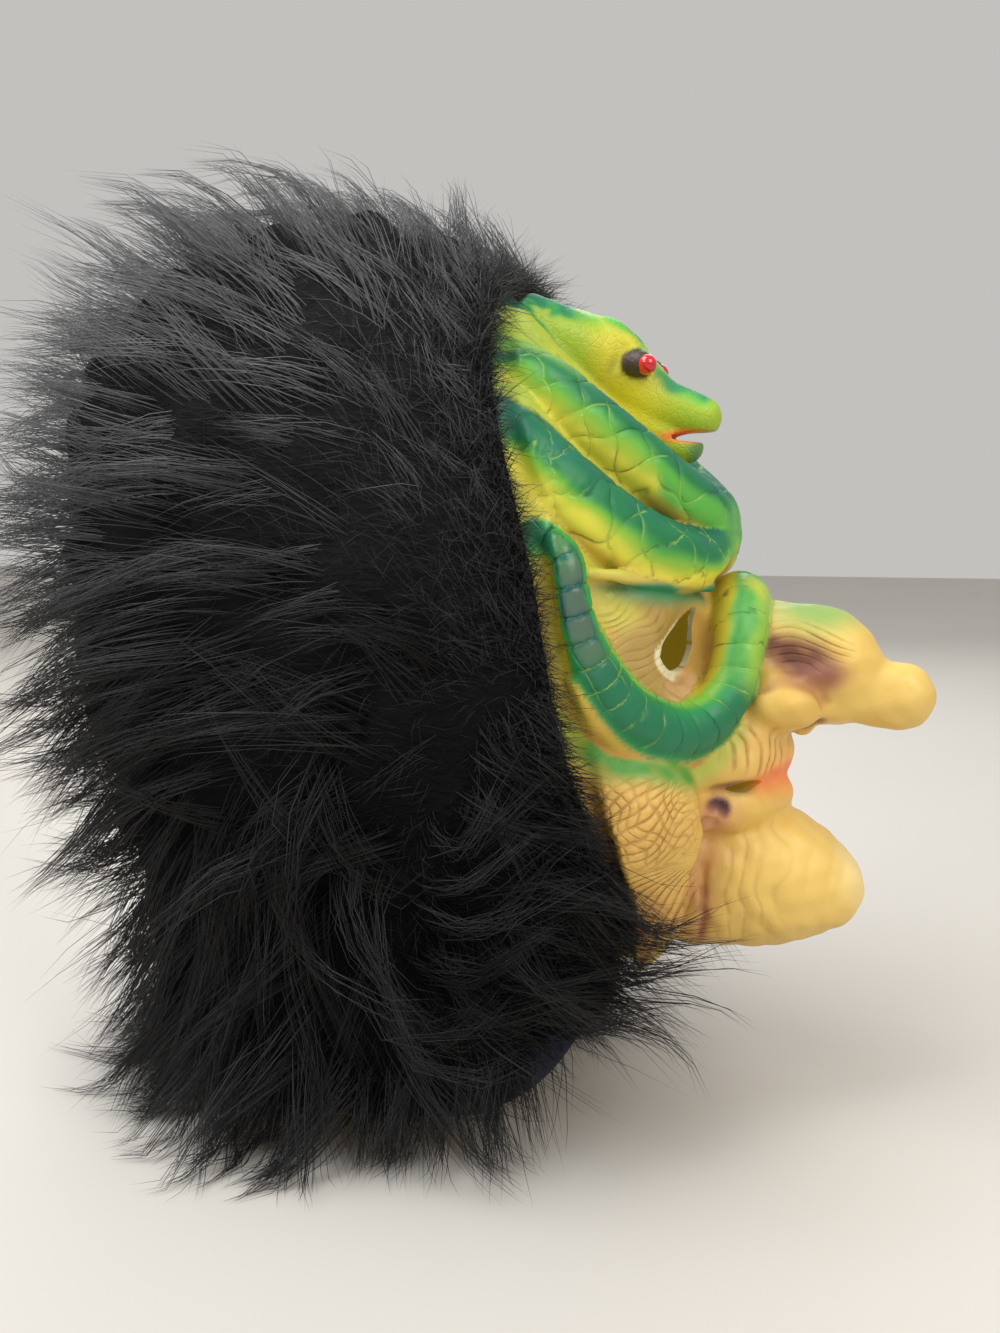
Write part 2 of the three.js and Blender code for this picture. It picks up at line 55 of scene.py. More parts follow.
cam_data = bpy.data.cameras.new('photo_camera')
cam = bpy.data.objects.new('photo_camera', cam_data)
scene.collection.objects.link(cam)
cam.location = (-0.4293, -0.1707, -0.0906)
cam_data.sensor_width = 36.0
cam_data.lens = 36.0 * 1216.0 / 1333.0
cam_data.clip_start = 0.01
look_at(cam, (0.0, -0.0476, -0.1454))
scene.camera = cam

FLOOR_Z = -0.2975


def area_light(name, loc, target, power, size, colour=(1, 1, 1), size_y=None):
    data = bpy.data.lights.new(name, 'AREA')
    data.energy = power
    data.color = colour
    data.size = size
    if size_y:
        data.shape = 'RECTANGLE'
        data.size_y = size_y
    ob = bpy.data.objects.new(name, data)
    scene.collection.objects.link(ob)
    ob.location = loc
    look_at(ob, target)
    return ob


area_light('key', (-0.75, -1.05, 0.75), (0, -0.08, -0.12), 10.4, 0.9, (1.0, 0.98, 0.94))
area_light('fill', (-1.05, 0.70, 0.85), (0, 0.02, -0.08), 10.5, 1.0, (0.95, 0.98, 1.0))
area_light('top', (-0.30, 0.50, 1.2), (0, 0.02, -0.1), 17, 0.9, (0.97, 0.98, 1.0))
area_light('rim', (1.1, 0.3, 0.55), (0, 0, -0.1), 6, 1.0, (1.0, 0.99, 0.97))

world = bpy.data.worlds.new('studio')
scene.world = world
world.use_nodes = True
bg = world.node_tree.nodes['Background']
bg.inputs['Color'].default_value = (0.80, 0.785, 0.76, 1)
bg.inputs['Strength'].default_value = 0.68


# ---------------------------------------------------------------- node helpers
class Mat:
    def __init__(self, name):
        self.m = bpy.data.materials.new(name)
        self.m.use_nodes = True
        self.t = self.m.node_tree
        self.b = self.t.nodes['Principled BSDF']

    def n(self, kind, **props):
        node = self.t.nodes.new(kind)
        for k, v in props.items():
            setattr(node, k, v)
        return node

    def put(self, sock, v):
        if hasattr(v, 'is_output'):
            self.t.links.new(v, sock)
        else:
            sock.default_value = v

    def attr(self, name):
        return self.n('ShaderNodeAttribute', attribute_name=name, attribute_type='GEOMETRY')

    def obj(self):
        if not hasattr(self, '_tc'):
            self._tc = self.n('ShaderNodeTexCoord')
        return self._tc.outputs['Object']

    def noise(self, scale, detail=3.0, rough=0.55, vec=None, distortion=0.0):
        x = self.n('ShaderNodeTexNoise')
        self.put(x.inputs['Vector'], vec or self.obj())
        x.inputs['Scale'].default_value = scale
        x.inputs['Detail'].default_value = detail
        x.inputs['Roughness'].default_value = rough
        x.inputs['Distortion'].default_value = distortion
        return x.outputs['Fac']

    def math(self, op, a, b=0.0, c=None, clamp=False):
        x = self.n('ShaderNodeMath', operation=op, use_clamp=clamp)
        self.put(x.inputs[0], a)
        self.put(x.inputs[1], b)
        if c is not None:
            self.put(x.inputs[2], c)
        return x.outputs[0]

    def ramp(self, v, lo, hi, a=0.0, b=1.0):
        x = self.n('ShaderNodeMapRange', clamp=True, interpolation_type='SMOOTHSTEP')
        self.put(x.inputs['Value'], v)
        for key, val in (('From Min', lo), ('From Max', hi), ('To Min', a), ('To Max', b)):
            self.put(x.inputs[key], val)
        return x.outputs['Result']

    def mix(self, f, a, b, blend='MIX'):
        x = self.n('ShaderNodeMix', data_type='RGBA', blend_type=blend)
        self.put(x.inputs[0], f)
        self.put(x.inputs[6], a)
        self.put(x.inputs[7], b)
        return x.outputs[2]

    def bump(self, height, strength, dist, under=None):
        x = self.n('ShaderNodeBump')
        self.put(x.inputs['Height'], height)
        x.inputs['Strength'].default_value = strength
        x.inputs['Distance'].default_value = dist
        if under is not None:
            self.put(x.inputs['Normal'], under)
        return x.outputs['Normal']

    def set(self, **kw):
        for k, v in kw.items():
            self.put(self.b.inputs[k.replace('_', ' ')], v)
        return self.m


def srgb(r, g, b):
    c = np.array([r, g, b], float) / 255.0
    return np.where(c <= 0.04045, c / 12.92, ((c + 0.055) / 1.055) ** 2.4)


def rgba(r, g, b):
    return (*srgb(r, g, b), 1.0)


# floor
floor_mesh = bpy.data.meshes.new('floor')
S = 4.0
floor_mesh.from_pydata([(-S, -S, FLOOR_Z), (S, -S, FLOOR_Z), (S, S, FLOOR_Z), (-S, S, FLOOR_Z)], [], [(0, 1, 2, 3)])
floor = bpy.data.objects.new('floor', floor_mesh)
scene.collection.objects.link(floor)
fm = Mat('pale_floor')
fm.set(Base_Color=fm.mix(fm.noise(3.0), rgba(196, 191, 184), rgba(203, 199, 192)), Roughness=0.6)
floor_mesh.materials.append(fm.m)


# ---------------------------------------------------------------- number helpers
def sstep(a, b, v):
    t = np.clip((v - a) / (b - a), 0.0, 1.0)
    return t * t * (3 - 2 * t)


def smin(a, b, k):
    h = np.maximum(k - np.abs(a - b), 0.0) / k
    return np.minimum(a, b) - h * h * k * 0.25


def smax(a, b, k):
    return -smin(-a, -b, k)


def column(rows, key, by):
    """Monotone interpolation of column `key` of a table ordered by column `by`."""
    t = sorted(rows, key=lambda r: r[by])
    x = np.array([r[by] for r in t], float)
    y = np.array([r[key] for r in t], float)
    s = np.diff(y) / np.diff(x)
    m = np.empty_like(x)
    m[0], m[-1] = s[0], s[-1]
    pr = s[:-1] * s[1:]
    m[1:-1] = np.where(pr <= 0, 0, 2 * pr / np.where(np.abs(s[:-1] + s[1:]) < 1e-9, 1, s[:-1] + s[1:]))

    def f(v):
        v = np.clip(v, x[0], x[-1])
        i = np.clip(np.searchsorted(x, v, side='right') - 1, 0, len(x) - 2)
        h = x[i + 1] - x[i]
        u = (v - x[i]) / h
        u2, u3 = u * u, u * u * u
        return (y[i] * (2 * u3 - 3 * u2 + 1) + h * m[i] * (u3 - 2 * u2 + u)
                + y[i + 1] * (3 * u2 - 2 * u3) + h * m[i + 1] * (u3 - u2))
    return f


def table(names, *rows):
    keys = names.split()
    return [dict(zip(keys, r)) for r in rows]


# ---------------------------------------------------------------- tables
HEAD_SQUARE = 2.3
HEAD = table('up back front half',
             (0, 1, 1, 1), (-3, 30, 27, 27), (-10, 54, 47, 47), (-25, 77, 76, 66), (-50, 92, 101, 79),
             (-80, 98, 120, 84), (-115, 98, 129, 85), (-150, 93, 131, 84), (-185, 82, 130, 81),
             (-220, 72, 123, 77), (-250, 68, 108, 75), (-300, 68, 98, 76))
HOOD_EDGE = table('up fore', (12, 53), (-12, 57), (-33, 62), (-55, 66.5), (-85, 74), (-110, 80), (-130, 83),
                  (-155, 87), (-176, 92), (-195, 98), (-218, 102), (-243, 100), (-262, 92), (-277, 80), (-286, 62))
COIL = table('side fore up r',
             (55, 44, -40, 7), (54, 60, -43, 9), (49, 75, -49, 10), (43.5, 88, -59.5, 10), (35.5, 100, -69.5, 10),
             (27, 110.5, -79, 10), (18, 119, -86, 9.8), (10.5, 123.5, -90.5, 9.4), (9.3, 124.5, -97, 9.2),
             (15, 122.5, -102, 9.8), (25, 117.5, -104, 11), (39, 106.5, -100, 12), (49.5, 95, -92, 12.3),
             (56.5, 85, -82.5, 12), (60, 74.5, -72, 11), (62, 62, -62, 9), (63, 48, -55, 6))
HAIRPIN = 8
TAIL = table('side fore up r',
             (66, 77, -96, 5.4), (67.6, 86, -102.5, 6.4), (68, 88, -112, 7.0), (67, 89.7, -121.7, 7.3),
             (64.8, 92.7, -131, 7.7), (61.4, 97.2, -140.5, 8.2), (56.2, 103.3, -150, 8.8), (48.3, 110.5, -157.3, 9.6),
             (39, 118, -160.2, 9.6), (30, 126, -157, 9.2), (23, 133, -147.5, 8.6), (19.2, 135.5, -136, 8.3),
             (16, 136, -127, 8.8), (9, 135, -121, 9.8), (0, 134.5, -119.3, 10.4))
BELLY = table('side fore up r',      # the ochre underside that shows outside the tail's loop
              (72, 83, -124, 2.0), (70.4, 85, -133, 3.2), (66.8, 90, -143.5, 4.2), (61, 97, -154, 4.8),
              (52.2, 106, -162.5, 5.2), (41.5, 116, -167, 5.2), (31.5, 124, -165.5, 4.4), (26, 130, -160, 3.2))
SNAKE_HEAD = table('side fore up r',
                   (0, 40, -22, 9), (0, 56, -25, 11), (0, 70, -30.5, 13.4), (0, 84, -36.5, 13.6), (0, 95, -43.8, 11.4),
                   (0, 104.5, -51, 9.2), (0, 113, -54.3, 8.2), (0, 119.5, -56.4, 7.3))
SNAKE_NECK = table('side fore up r', (31, 40, -18, 7), (28, 52, -21, 8.5), (22, 63, -25.5, 10), (14, 74, -31, 11.5), (7, 83, -35, 12))
SNAKE_BROW = table('side fore up r', (8.5, 80, -29.5, 5), (9, 88, -28.5, 5.6), (8.7, 94, -31.8, 4.8), (8.5, 99, -38, 3.2))
SNAKE_JAW = table('side fore up r', (0, 84, -50, 10), (0, 100, -58, 8), (0, 109, -63.5, 6.8), (0, 115.2, -66.5, 5.6))
EYE_STALK = table('side fore up r', (8.5, 94.5, -38, 4.6), (11.5, 100.5, -39, 4.3))
NOSE = table('side fore up r',
             (0, 122, -136, 19), (0, 146, -139, 19.5), (0, 157, -140, 20.3), (0, 163, -141, 19.4))
NOSE_TIP = table('side fore up r', (0, 168, -146.2, 15), (0, 178, -149.4, 12.2), (0, 188.4, -151.2, 11.5))
NOSE_NARROW = 0.84
CHIN = table('side fore up r', (0, 124, -214, 29), (0, 146, -216, 25), (0, 163.8, -219, 15.4))
LOWER_LIP = table('side fore up r', (28, 125, -189, 6), (17, 138.5, -188, 8), (0, 145.5, -186.3, 8.8))
UPPER_LIP = table('side fore up r', (29, 127, -175, 4), (18, 139, -173.5, 6), (0, 146.5, -172, 7))
LID = table('side fore up r', (62, 92.5, -107.5, 1.6), (52, 103.6, -109.2, 2.3), (40, 113, -110.8, 2.6), (28, 120.8, -112.6, 2.4), (19, 126, -113.4, 1.8))
MOUTH_LINE = table('side fore up r', (31, 131, -181, 1.6), (24, 141, -179.4, 1.5), (12, 152, -178.3, 1.6), (0, 156, -177.8, 1.7))
JOWL_LINE = table('side fore up r', (33.5, 129, -192, 2.6), (36.5, 124, -201, 3.4), (37, 122.4, -212, 3.8), (36.5, 122, -224, 3.8), (34, 121.5, -236, 3.0))
CREASE = table('side fore up r', (31, 130.5, -191, 0.8), (27.8, 128.6, -200, 1.1), (28.8, 126.6, -211, 1.3), (27.2, 127.0, -223, 1.2), (19.5, 124.8, -236, 1.0))
ALA_LINE = table('side fore up r', (20.6, 144.6, -147.4, 0.5), (21.2, 149, -144.4, 1.1), (20.2, 155, -143.8, 1.4), (17.8, 160.6, -146, 1.4), (14.5, 164, -152, 0.9))
BEAD = dict(side=13.65, fore=103.0, up=-39.5, r=3.4)
EYE = dict(side=32, fore=119, turn=40)
EYE_OUTLINE = table('across up', (13.4, -134.6), (4.5, -129.0), (-4.5, -123.6), (-10.0, -120.6), (-11.4, -127.5),
                    (-11.0, -135), (-6, -140.2), (2.5, -140.8), (9, -138.4))
SLIT_OUTLINE = table('side up', (18.5, -179.2), (21.5, -177.9), (24.8, -178.2), (26.8, -180.4), (24.4, -181.8), (21, -180.6))
VINYL = 2.2
LAP = 11
BROW_SINK = 9

head_back, head_front, head_half = (column(HEAD, k, 'up') for k in ('back', 'front', 'half'))
hood_edge_exact = column(HOOD_EDGE, 'fore', 'up')
LUT_LOW, LUT_STEP = -301.0, 0.2
LUT_UP = np.arange(LUT_LOW, 13.0, LUT_STEP)


def lut(f):
    v = f(LUT_UP).astype(np.float32)
    return v, np.gradient(v, LUT_STEP).astype(np.float32)


LUT_BACK, LUT_FRONT, LUT_HALF, LUT_EDGE = lut(head_back), lut(head_front), lut(head_half), lut(hood_edge_exact)


def look(tab, z):
    t = np.clip((z - LUT_LOW) / LUT_STEP, 0, len(LUT_UP) - 1.001)
    i = t.astype(np.int32)
    f = (t - i).astype(np.float32)
    return tab[i] * (1 - f) + tab[i + 1] * f


def hood_edge(z):
    return look(LUT_EDGE[0], np.asarray(z, np.float32))


def head_form(s, p, z):
    """Ratio of the head form at a point, and its slope."""
    s, p = np.asarray(s, np.float32), np.asarray(p, np.float32)
    z = np.minimum(np.asarray(z, np.float32), -0.3)
    b, db = look(LUT_HALF[0], z), look(LUT_HALF[1], z)
    fr = p > 0
    a = np.where(fr, look(LUT_FRONT[0], z), look(LUT_BACK[0], z))
    da = np.where(fr, look(LUT_FRONT[1], z), look(LUT_BACK[1], z))
    A = (np.abs(s) / b) ** HEAD_SQUARE
    B = (np.abs(p) / a) ** HEAD_SQUARE
    F = np.maximum(A + B, 1e-6) ** (1 / HEAD_SQUARE)
    k = F / np.maximum(A + B, 1e-6)
    gs = k * A / np.where(np.abs(s) < 1e-3, 1e-3, s)
    gp = k * B / np.where(np.abs(p) < 1e-3, 1e-3, p)
    gz = -k * (A * db / b + B * da / a)
    return F, np.stack([gs, gp, gz], -1)


def head_dist(s, p, z):
    F, g = head_form(s, p, z)
    return (F - 1) / np.maximum(np.sqrt((g * g).sum(-1)), 1e-4)


def catmull(pts, per):
    """Centripetal spline through rows of points (last column may be a radius)."""
    P = np.asarray(pts, float)
    n = len(P)
    out = []
    for i in range(n - 1):
        p1, p2 = P[i], P[i + 1]
        p0 = P[i - 1] if i > 0 else 2 * p1 - p2
        p3 = P[i + 2] if i + 2 < n else 2 * p2 - p1
        d = [max(np.linalg.norm((b - a)[:3]) ** 0.5, 1e-4) for a, b in ((p0, p1), (p1, p2), (p2, p3))]
        t0, t1, t2, t3 = 0, d[0], d[0] + d[1], sum(d)
        for k in range(per):
            t = t1 + (t2 - t1) * k / per
            A1 = (t1 - t) / (t1 - t0) * p0 + (t - t0) / (t1 - t0) * p1
            A2 = (t2 - t) / (t2 - t1) * p1 + (t - t1) / (t2 - t1) * p2
            A3 = (t3 - t) / (t3 - t2) * p2 + (t - t2) / (t3 - t2) * p3
            B1 = (t2 - t) / (t2 - t0) * A1 + (t - t0) / (t2 - t0) * A2
            B2 = (t3 - t) / (t3 - t1) * A2 + (t - t1) / (t3 - t1) * A3
            out.append((t2 - t) / (t2 - t1) * B1 + (t - t1) / (t2 - t1) * B2)
    out.append(P[-1])
    return np.array(out)


class Chain:
    def __init__(self, rows, per=5):
        Q = catmull([[r['side'], r['fore'], r['up'], r['r']] for r in rows], per)
        self.p, self.r = Q[:, :3].astype(np.float32), Q[:, 3].astype(np.float32)
        step = np.linalg.norm(np.diff(self.p, axis=0), axis=1)
        self.s = np.concatenate([[0], np.cumsum(step)]).astype(np.float32)
        reach = self.r.max() + 13
        self.lo, self.hi = self.p.min(0) - reach, self.p.max(0) + reach

    def dist(self, P, full=False):
        if not full:
            near = np.flatnonzero(((P > self.lo) & (P < self.hi)).all(1))
            out = np.full(len(P), 13.0, np.float32)
            if len(near):
                out[near] = self._dist(P[near], False)
            return out
        return self._dist(P, True)

    def _dist(self, P, full):
        best = np.full(len(P), 1e9, np.float32)
        if full:
            along = np.zeros(len(P), np.float32)
            foot = np.zeros((len(P), 3), np.float32)
            axis = np.zeros((len(P), 3), np.float32)
        for i in range(len(self.p) - 1):
            a, d = self.p[i], self.p[i + 1] - self.p[i]
            q = P - a
            t = np.clip((q @ d) / float(d @ d), 0, 1)
            w = q - t[:, None] * d
            v = np.sqrt((w * w).sum(1)) - (self.r[i] + (self.r[i + 1] - self.r[i]) * t)
            hit = v < best
            best = np.where(hit, v, best)
            if full:
                along = np.where(hit, self.s[i] + t * (self.s[i + 1] - self.s[i]), along)
                foot[hit] = (a + t[:, None] * d)[hit]
                axis[hit] = d / np.linalg.norm(d)
        return (best, along, foot, axis) if full else best


coil_a, coil_b = Chain(COIL[:HAIRPIN + 1], 6), Chain(COIL[HAIRPIN:], 6)
coil_all = Chain(COIL, 6)
tail, belly, snake_head, snake_jaw = Chain(TAIL, 5), Chain(BELLY, 4), Chain(SNAKE_HEAD, 4), Chain(SNAKE_JAW, 4)
snake_brow, eye_stalk = Chain(SNAKE_BROW, 3), Chain(EYE_STALK, 1)
nose, chin, lower_lip, upper_lip, lid = Chain(NOSE, 3), Chain(CHIN, 3), Chain(LOWER_LIP, 4), Chain(UPPER_LIP, 4), Chain(LID, 4)
mouth_line, jowl_line = Chain(MOUTH_LINE, 4), Chain(JOWL_LINE, 4)
snake_neck, nose_tip, ala_line, crease = Chain(SNAKE_NECK, 4), Chain(NOSE_TIP, 4), Chain(ALA_LINE, 4), Chain(CREASE, 4)


def mass(P, side, fore, up, rs, rf, ru):
    R = np.array([rs, rf, ru], np.float32)
    q = (P - np.array([side, fore, up], np.float32)) / R
    k = np.sqrt((q * q).sum(1))
    g = np.sqrt(((q / R) ** 2).sum(1))
    return np.where(g < 1e-6, -min(rs, rf, ru), k * (k - 1) / np.maximum(g, 1e-6))


def ball(P, side, fore, up, r):
    return np.sqrt(((P - np.array([side, fore, up], np.float32)) ** 2).sum(1)) - r


def skin_dist(P, snake=True):
    """Signed distance to the outside of the face; P is (n, 3) of (x, fore, up)."""
    P = np.array(P, np.float32)
    P[:, 0] = np.abs(P[:, 0])
    s, p, z = P[:, 0], P[:, 1], P[:, 2]
    edge = hood_edge(z)
    bare = head_dist(s, p, z)
    brow = sstep(-128, -108, z) * sstep(4, 22, p - edge)
    d = bare + BROW_SINK * brow
    d = smin(d, mass(P, 0, 127, -169, 31, 25, 19), 11)            # muzzle
    d = smin(d, mass(P, 43, 99.5, -191, 24, 28, 33), 6)           # cheek
    d = smin(d, mass(P, 41, 100.5, -214, 21, 22.5, 27), 6)       # jowl
    d = smin(d, chin.dist(P), 3.5)
    d = smin(d, lower_lip.dist(P), 4)
    d = smin(d, upper_lip.dist(P), 5)
    N = P.copy()
    N[:, 0] /= NOSE_NARROW
    d = smin(d, smin(nose.dist(N), nose_tip.dist(N), 4) * NOSE_NARROW, 8)
    d = smax(d, -mass(P, 21, 157, -137, 7, 15, 6.5), 5)           # pinched side of the nose
    d = smin(d, mass(P, 13, 150.5, -153, 10.6, 12.5, 9.6), 6.0)              # nostril wing
    d = smin(d, mass(P, 0, 157, -160, 5, 4, 5.5), 2.5)            # nub between the nostrils
    d = smax(d, -ala_line.dist(P), 3.0)
    d = smax(d, -mass(P, 10, 160, -163, 5.5, 6, 5.5), 2.0)        # nostril
    d = smax(d, -mass(P, 37, 127, -132, 23, 13, 17), 7)           # eye socket
    d = smin(d, lid.dist(P), 5.5)
    d = smax(d, -mouth_line.dist(P), 1.8)
    d = smax(d, -mass(P, 32.8, 132.6, -185.2, 4.4, 3.9, 4.7), 1.2)   # hollow at the mouth's corner
    d = smax(d, -jowl_line.dist(P), 1.8)
    d = smax(d, -crease.dist(P), 1.6)
    if snake:
        d = smin(d, belly.dist(P), 3)
        c = smin(coil_a.dist(P), coil_b.dist(P), 0.8)
        c = smin(c, tail.dist(P), 1.5)
        h = smin(smin(snake_head.dist(P), snake_neck.dist(P), 5), snake_brow.dist(P), 3)
        h = smin(h, eye_stalk.dist(P), 1.2)
        h = smin(h, snake_jaw.dist(P), 1.5)
        gap = mass(P, 0, 121.5, -63.2, 14, 12.5, 1.8)
        h = smax(h, -gap, 0.8)
        c = smin(c, h, 1.2)
        d = smin(d, c, 2.0)
    covered = 1 - sstep(0.8, 8.5, p - edge)
    return d + (bare + 1.3 - d) * covered


def bounded(P, wall=0.0):
    return np.maximum(np.maximum(skin_dist(P) + wall, 37 - P[:, 1]), -256 - P[:, 2])


def gradient(f, P, d0, e=0.2):
    g = np.empty_like(P)
    for n in range(3):
        q = P.copy()
        q[:, n] += e
        g[:, n] = (f(q) - d0) / e
    return g


def surface(field, lo, hi, step, settle=2):
    """Closed quad surface of a field that is even in x: one vertex a cell (x, fore, up)."""
    nh = int(math.ceil(hi[0] / step))
    ny, nz = int(math.ceil((hi[1] - lo[1]) / step)) + 1, int(math.ceil((hi[2] - lo[2]) / step)) + 1
    xs = (np.arange(nh) + 0.5) * step
    ys, zs = lo[1] + np.arange(ny) * step, lo[2] + np.arange(nz) * step
    # coarse pass first, then only the cells near the surface
    k = 4
    cx, cy, cz = xs[::k], ys[::k], zs[::k]
    G = np.stack(np.meshgrid(cx, cy, cz, indexing='ij'), -1).reshape(-1, 3).astype(np.float32)
    coarse = field(G).reshape(len(cx), len(cy), len(cz))
    V = np.repeat(np.repeat(np.repeat(coarse, k, 0), k, 1), k, 2)[:nh, :ny, :nz].astype(np.float32)
    near = np.abs(V) < step * k * 1.45
    ii = np.argwhere(near)
    Q = np.stack([xs[ii[:, 0]], ys[ii[:, 1]], zs[ii[:, 2]]], -1).astype(np.float32)
    vals = np.empty(len(Q), np.float32)
    for a in range(0, len(Q), 200000):
        vals[a:a + 200000] = field(Q[a:a + 200000])
    V[near] = vals
    V = np.concatenate([V[::-1], V], 0)
    X0 = -(nh - 0.5) * step
    inside = V < 0
    nx = V.shape[0]
    c = [inside[i:nx - 1 + i, j:ny - 1 + j, l:nz - 1 + l] for i in (0, 1) for j in (0, 1) for l in (0, 1)]
    cnt = sum(x.astype(np.int8) for x in c)
    cells = np.argwhere((cnt > 0) & (cnt < 8))
    vid = -np.ones((nx - 1, ny - 1, nz - 1), np.int64)
    vid[tuple(cells.T)] = np.arange(len(cells))
    acc = np.zeros((len(cells), 3))
    hits = np.zeros(len(cells))
    off = [(i, j, l) for i in (0, 1) for j in (0, 1) for l in (0, 1)]
    cv = {o: V[cells[:, 0] + o[0], cells[:, 1] + o[1], cells[:, 2] + o[2]] for o in off}
    for a in off:
        for ax in range(3):
            if a[ax]:
                continue
            b = tuple(v + (1 if n == ax else 0) for n, v in enumerate(a))
            va, vb = cv[a], cv[b]
            x = (va < 0) != (vb < 0)
            t = np.where(x, va / np.where(x, va - vb, 1), 0)
            pt = np.tile(np.array(a, float), (len(cells), 1))
            pt[:, ax] += t
            acc += np.where(x[:, None], pt, 0)
            hits += x
    P = (acc / hits[:, None] + cells) * step + np.array([X0, lo[1], lo[2]])
    P = P.astype(np.float32)
    for _ in range(settle):
        d = field(P)
        g = gradient(field, P, d)
        gg = (g * g).sum(1)
        mv = np.where(gg > 0.05, d / np.maximum(gg, 0.05), 0)
        lim = 0.35 * step / np.maximum(np.abs(mv) * np.sqrt(gg), 1e-9)
        P = P - (mv * np.minimum(1, lim))[:, None] * g
    quads = []
    for ax in range(3):
        sl0 = [slice(1, n - 1) for n in V.shape]
        sl1 = list(sl0)
        sl0[ax], sl1[ax] = slice(0, V.shape[ax] - 1), slice(1, V.shape[ax])
        A, B = inside[tuple(sl0)], inside[tuple(sl1)]
        idx = np.argwhere(A != B)
        neg = A[tuple(idx.T)]
        u, w = (ax + 1) % 3, (ax + 2) % 3
        base = idx.copy()
        base[:, u] += 1
        base[:, w] += 1
        ids = []
        for du, dw in ((-1, -1), (0, -1), (0, 0), (-1, 0)):
            q = base.copy()
            q[:, u] += du
            q[:, w] += dw
            ids.append(vid[q[:, 0], q[:, 1], q[:, 2]])
        F = np.stack(ids, 1)
        F[~neg] = F[~neg][:, ::-1]
        quads.append(F)
    F = np.concatenate(quads)
    # (x, fore, up) -> (x, -fore, up) mirrors, so turn every face over
    return P, F[:, ::-1]


def mesh_object(name, verts_mm, faces, smooth=True, fore_up=True):
    """Object from arrays; verts in mm as (x, fore, up) or (x, y, z)."""
    v = np.array(verts_mm, np.float32) * 0.001
    if fore_up:
        v[:, 1] *= -1
    faces = np.asarray(faces, np.int32)
    n, k = faces.shape
    me = bpy.data.meshes.new(name)
    me.vertices.add(len(v))
    me.vertices.foreach_set('co', v.ravel())
    me.loops.add(n * k)
    me.loops.foreach_set('vertex_index', faces.ravel())
    me.polygons.add(n)
    me.polygons.foreach_set('loop_start', np.arange(0, n * k, k, dtype=np.int32))
    me.polygons.foreach_set('loop_total', np.full(n, k, np.int32))
    me.update(calc_edges=True)
    me.polygons.foreach_set('use_smooth', np.full(n, smooth, bool))
    ob = bpy.data.objects.new(name, me)
    scene.collection.objects.link(ob)
    return ob


def coords(ob):
    v = np.empty(len(ob.data.vertices) * 3, np.float32)
    ob.data.vertices.foreach_get('co', v)
    v = v.reshape(-1, 3) * 1000
    v[:, 1] *= -1
    return v


def add_float(ob, name, values):
    a = ob.data.attributes.new(name, 'FLOAT', 'POINT')
    a.data.foreach_set('value', np.asarray(values, np.float32))


def add_colour(ob, name, rgb):
    a = ob.data.attributes.new(name, 'FLOAT_COLOR', 'POINT')
    c = np.ones((len(rgb), 4), np.float32)
    c[:, :3] = rgb
    a.data.foreach_set('color', c.ravel())


def prism_across(name, outline, half):
    """Prism along x from an outline of (fore, up)."""
    o = np.array(outline, float)
    n = len(o)
    area = 0.5 * np.sum(o[:, 0] * np.roll(o[:, 1], -1) - np.roll(o[:, 0], -1) * o[:, 1])
    if area < 0:
        o = o[::-1]
    v = np.concatenate([np.column_stack([np.full(n, x), o]) for x in (-half, half)])
    return prism_faces(name, v, n)


def prism_faces(name, v, n):
    import bmesh
    bm = bmesh.new()
    bv = [bm.verts.new((x * 0.001, -p * 0.001, z * 0.001)) for x, p, z in v]
    bm.faces.new(bv[:n])
    bm.faces.new(bv[n:][::-1])
    for i in range(n):
        j = (i + 1) % n
        bm.faces.new((bv[i], bv[n + i], bv[n + j], bv[j]))
    bmesh.ops.triangulate(bm, faces=bm.faces[:])
    bmesh.ops.recalc_face_normals(bm, faces=bm.faces[:])
    me = bpy.data.meshes.new(name)
    bm.to_mesh(me)
    bm.free()
    ob = bpy.data.objects.new(name, me)
    scene.collection.objects.link(ob)
    return ob


def closed_curve(points, count):
    P = np.array(points, float)
    P = np.concatenate([P[-2:], P, P[:3]])
    Q = catmull(np.column_stack([P, np.zeros(len(P))]), max(2, count // len(points)))
    per = max(2, count // len(points))
    return Q[2 * per:2 * per + per * len(points), :2]


def cut(ob, tool, op='DIFFERENCE'):
    m = ob.modifiers.new('cut', 'BOOLEAN')
    m.operation = op
    m.object = tool
    m.solver = 'MANIFOLD'
    bpy.context.view_layer.update()
    dg = bpy.context.evaluated_depsgraph_get()
    me = bpy.data.meshes.new_from_object(ob.evaluated_get(dg))
    ob.modifiers.clear()
    old = ob.data
    ob.data = me
    bpy.data.meshes.remove(old)
    bpy.data.objects.remove(tool, do_unlink=True)
    return ob

# ---------------------------------------------------------------- sculpted lines
def waves(P, length, seed, count=7):
    """Smooth wobble between about -1 and 1 with the given wavelength in mm."""
    r = np.random.default_rng(seed)
    out = np.zeros(len(P), np.float32)
    for _ in range(count):
        k = r.normal(size=3)
        k *= 2 * math.pi / (length * r.uniform(0.7, 1.5)) / np.linalg.norm(k)
        out += np.sin(P @ k.astype(np.float32) + r.uniform(0, 6.28))
    return out / (count * 0.5) ** 0.5 * 0.7


def window(P, c, r, hard=0.5):
    """1 in an ellipsoid about c, falling to 0 at its edge."""
    q = np.sqrt((((P - np.array(c, np.float32)) / np.array(r, np.float32)) ** 2).sum(1))
    return 1 - sstep(hard, 1.0, q)


def unit(v):
    return v / np.maximum(np.linalg.norm(v, axis=-1, keepdims=True), 1e-6)


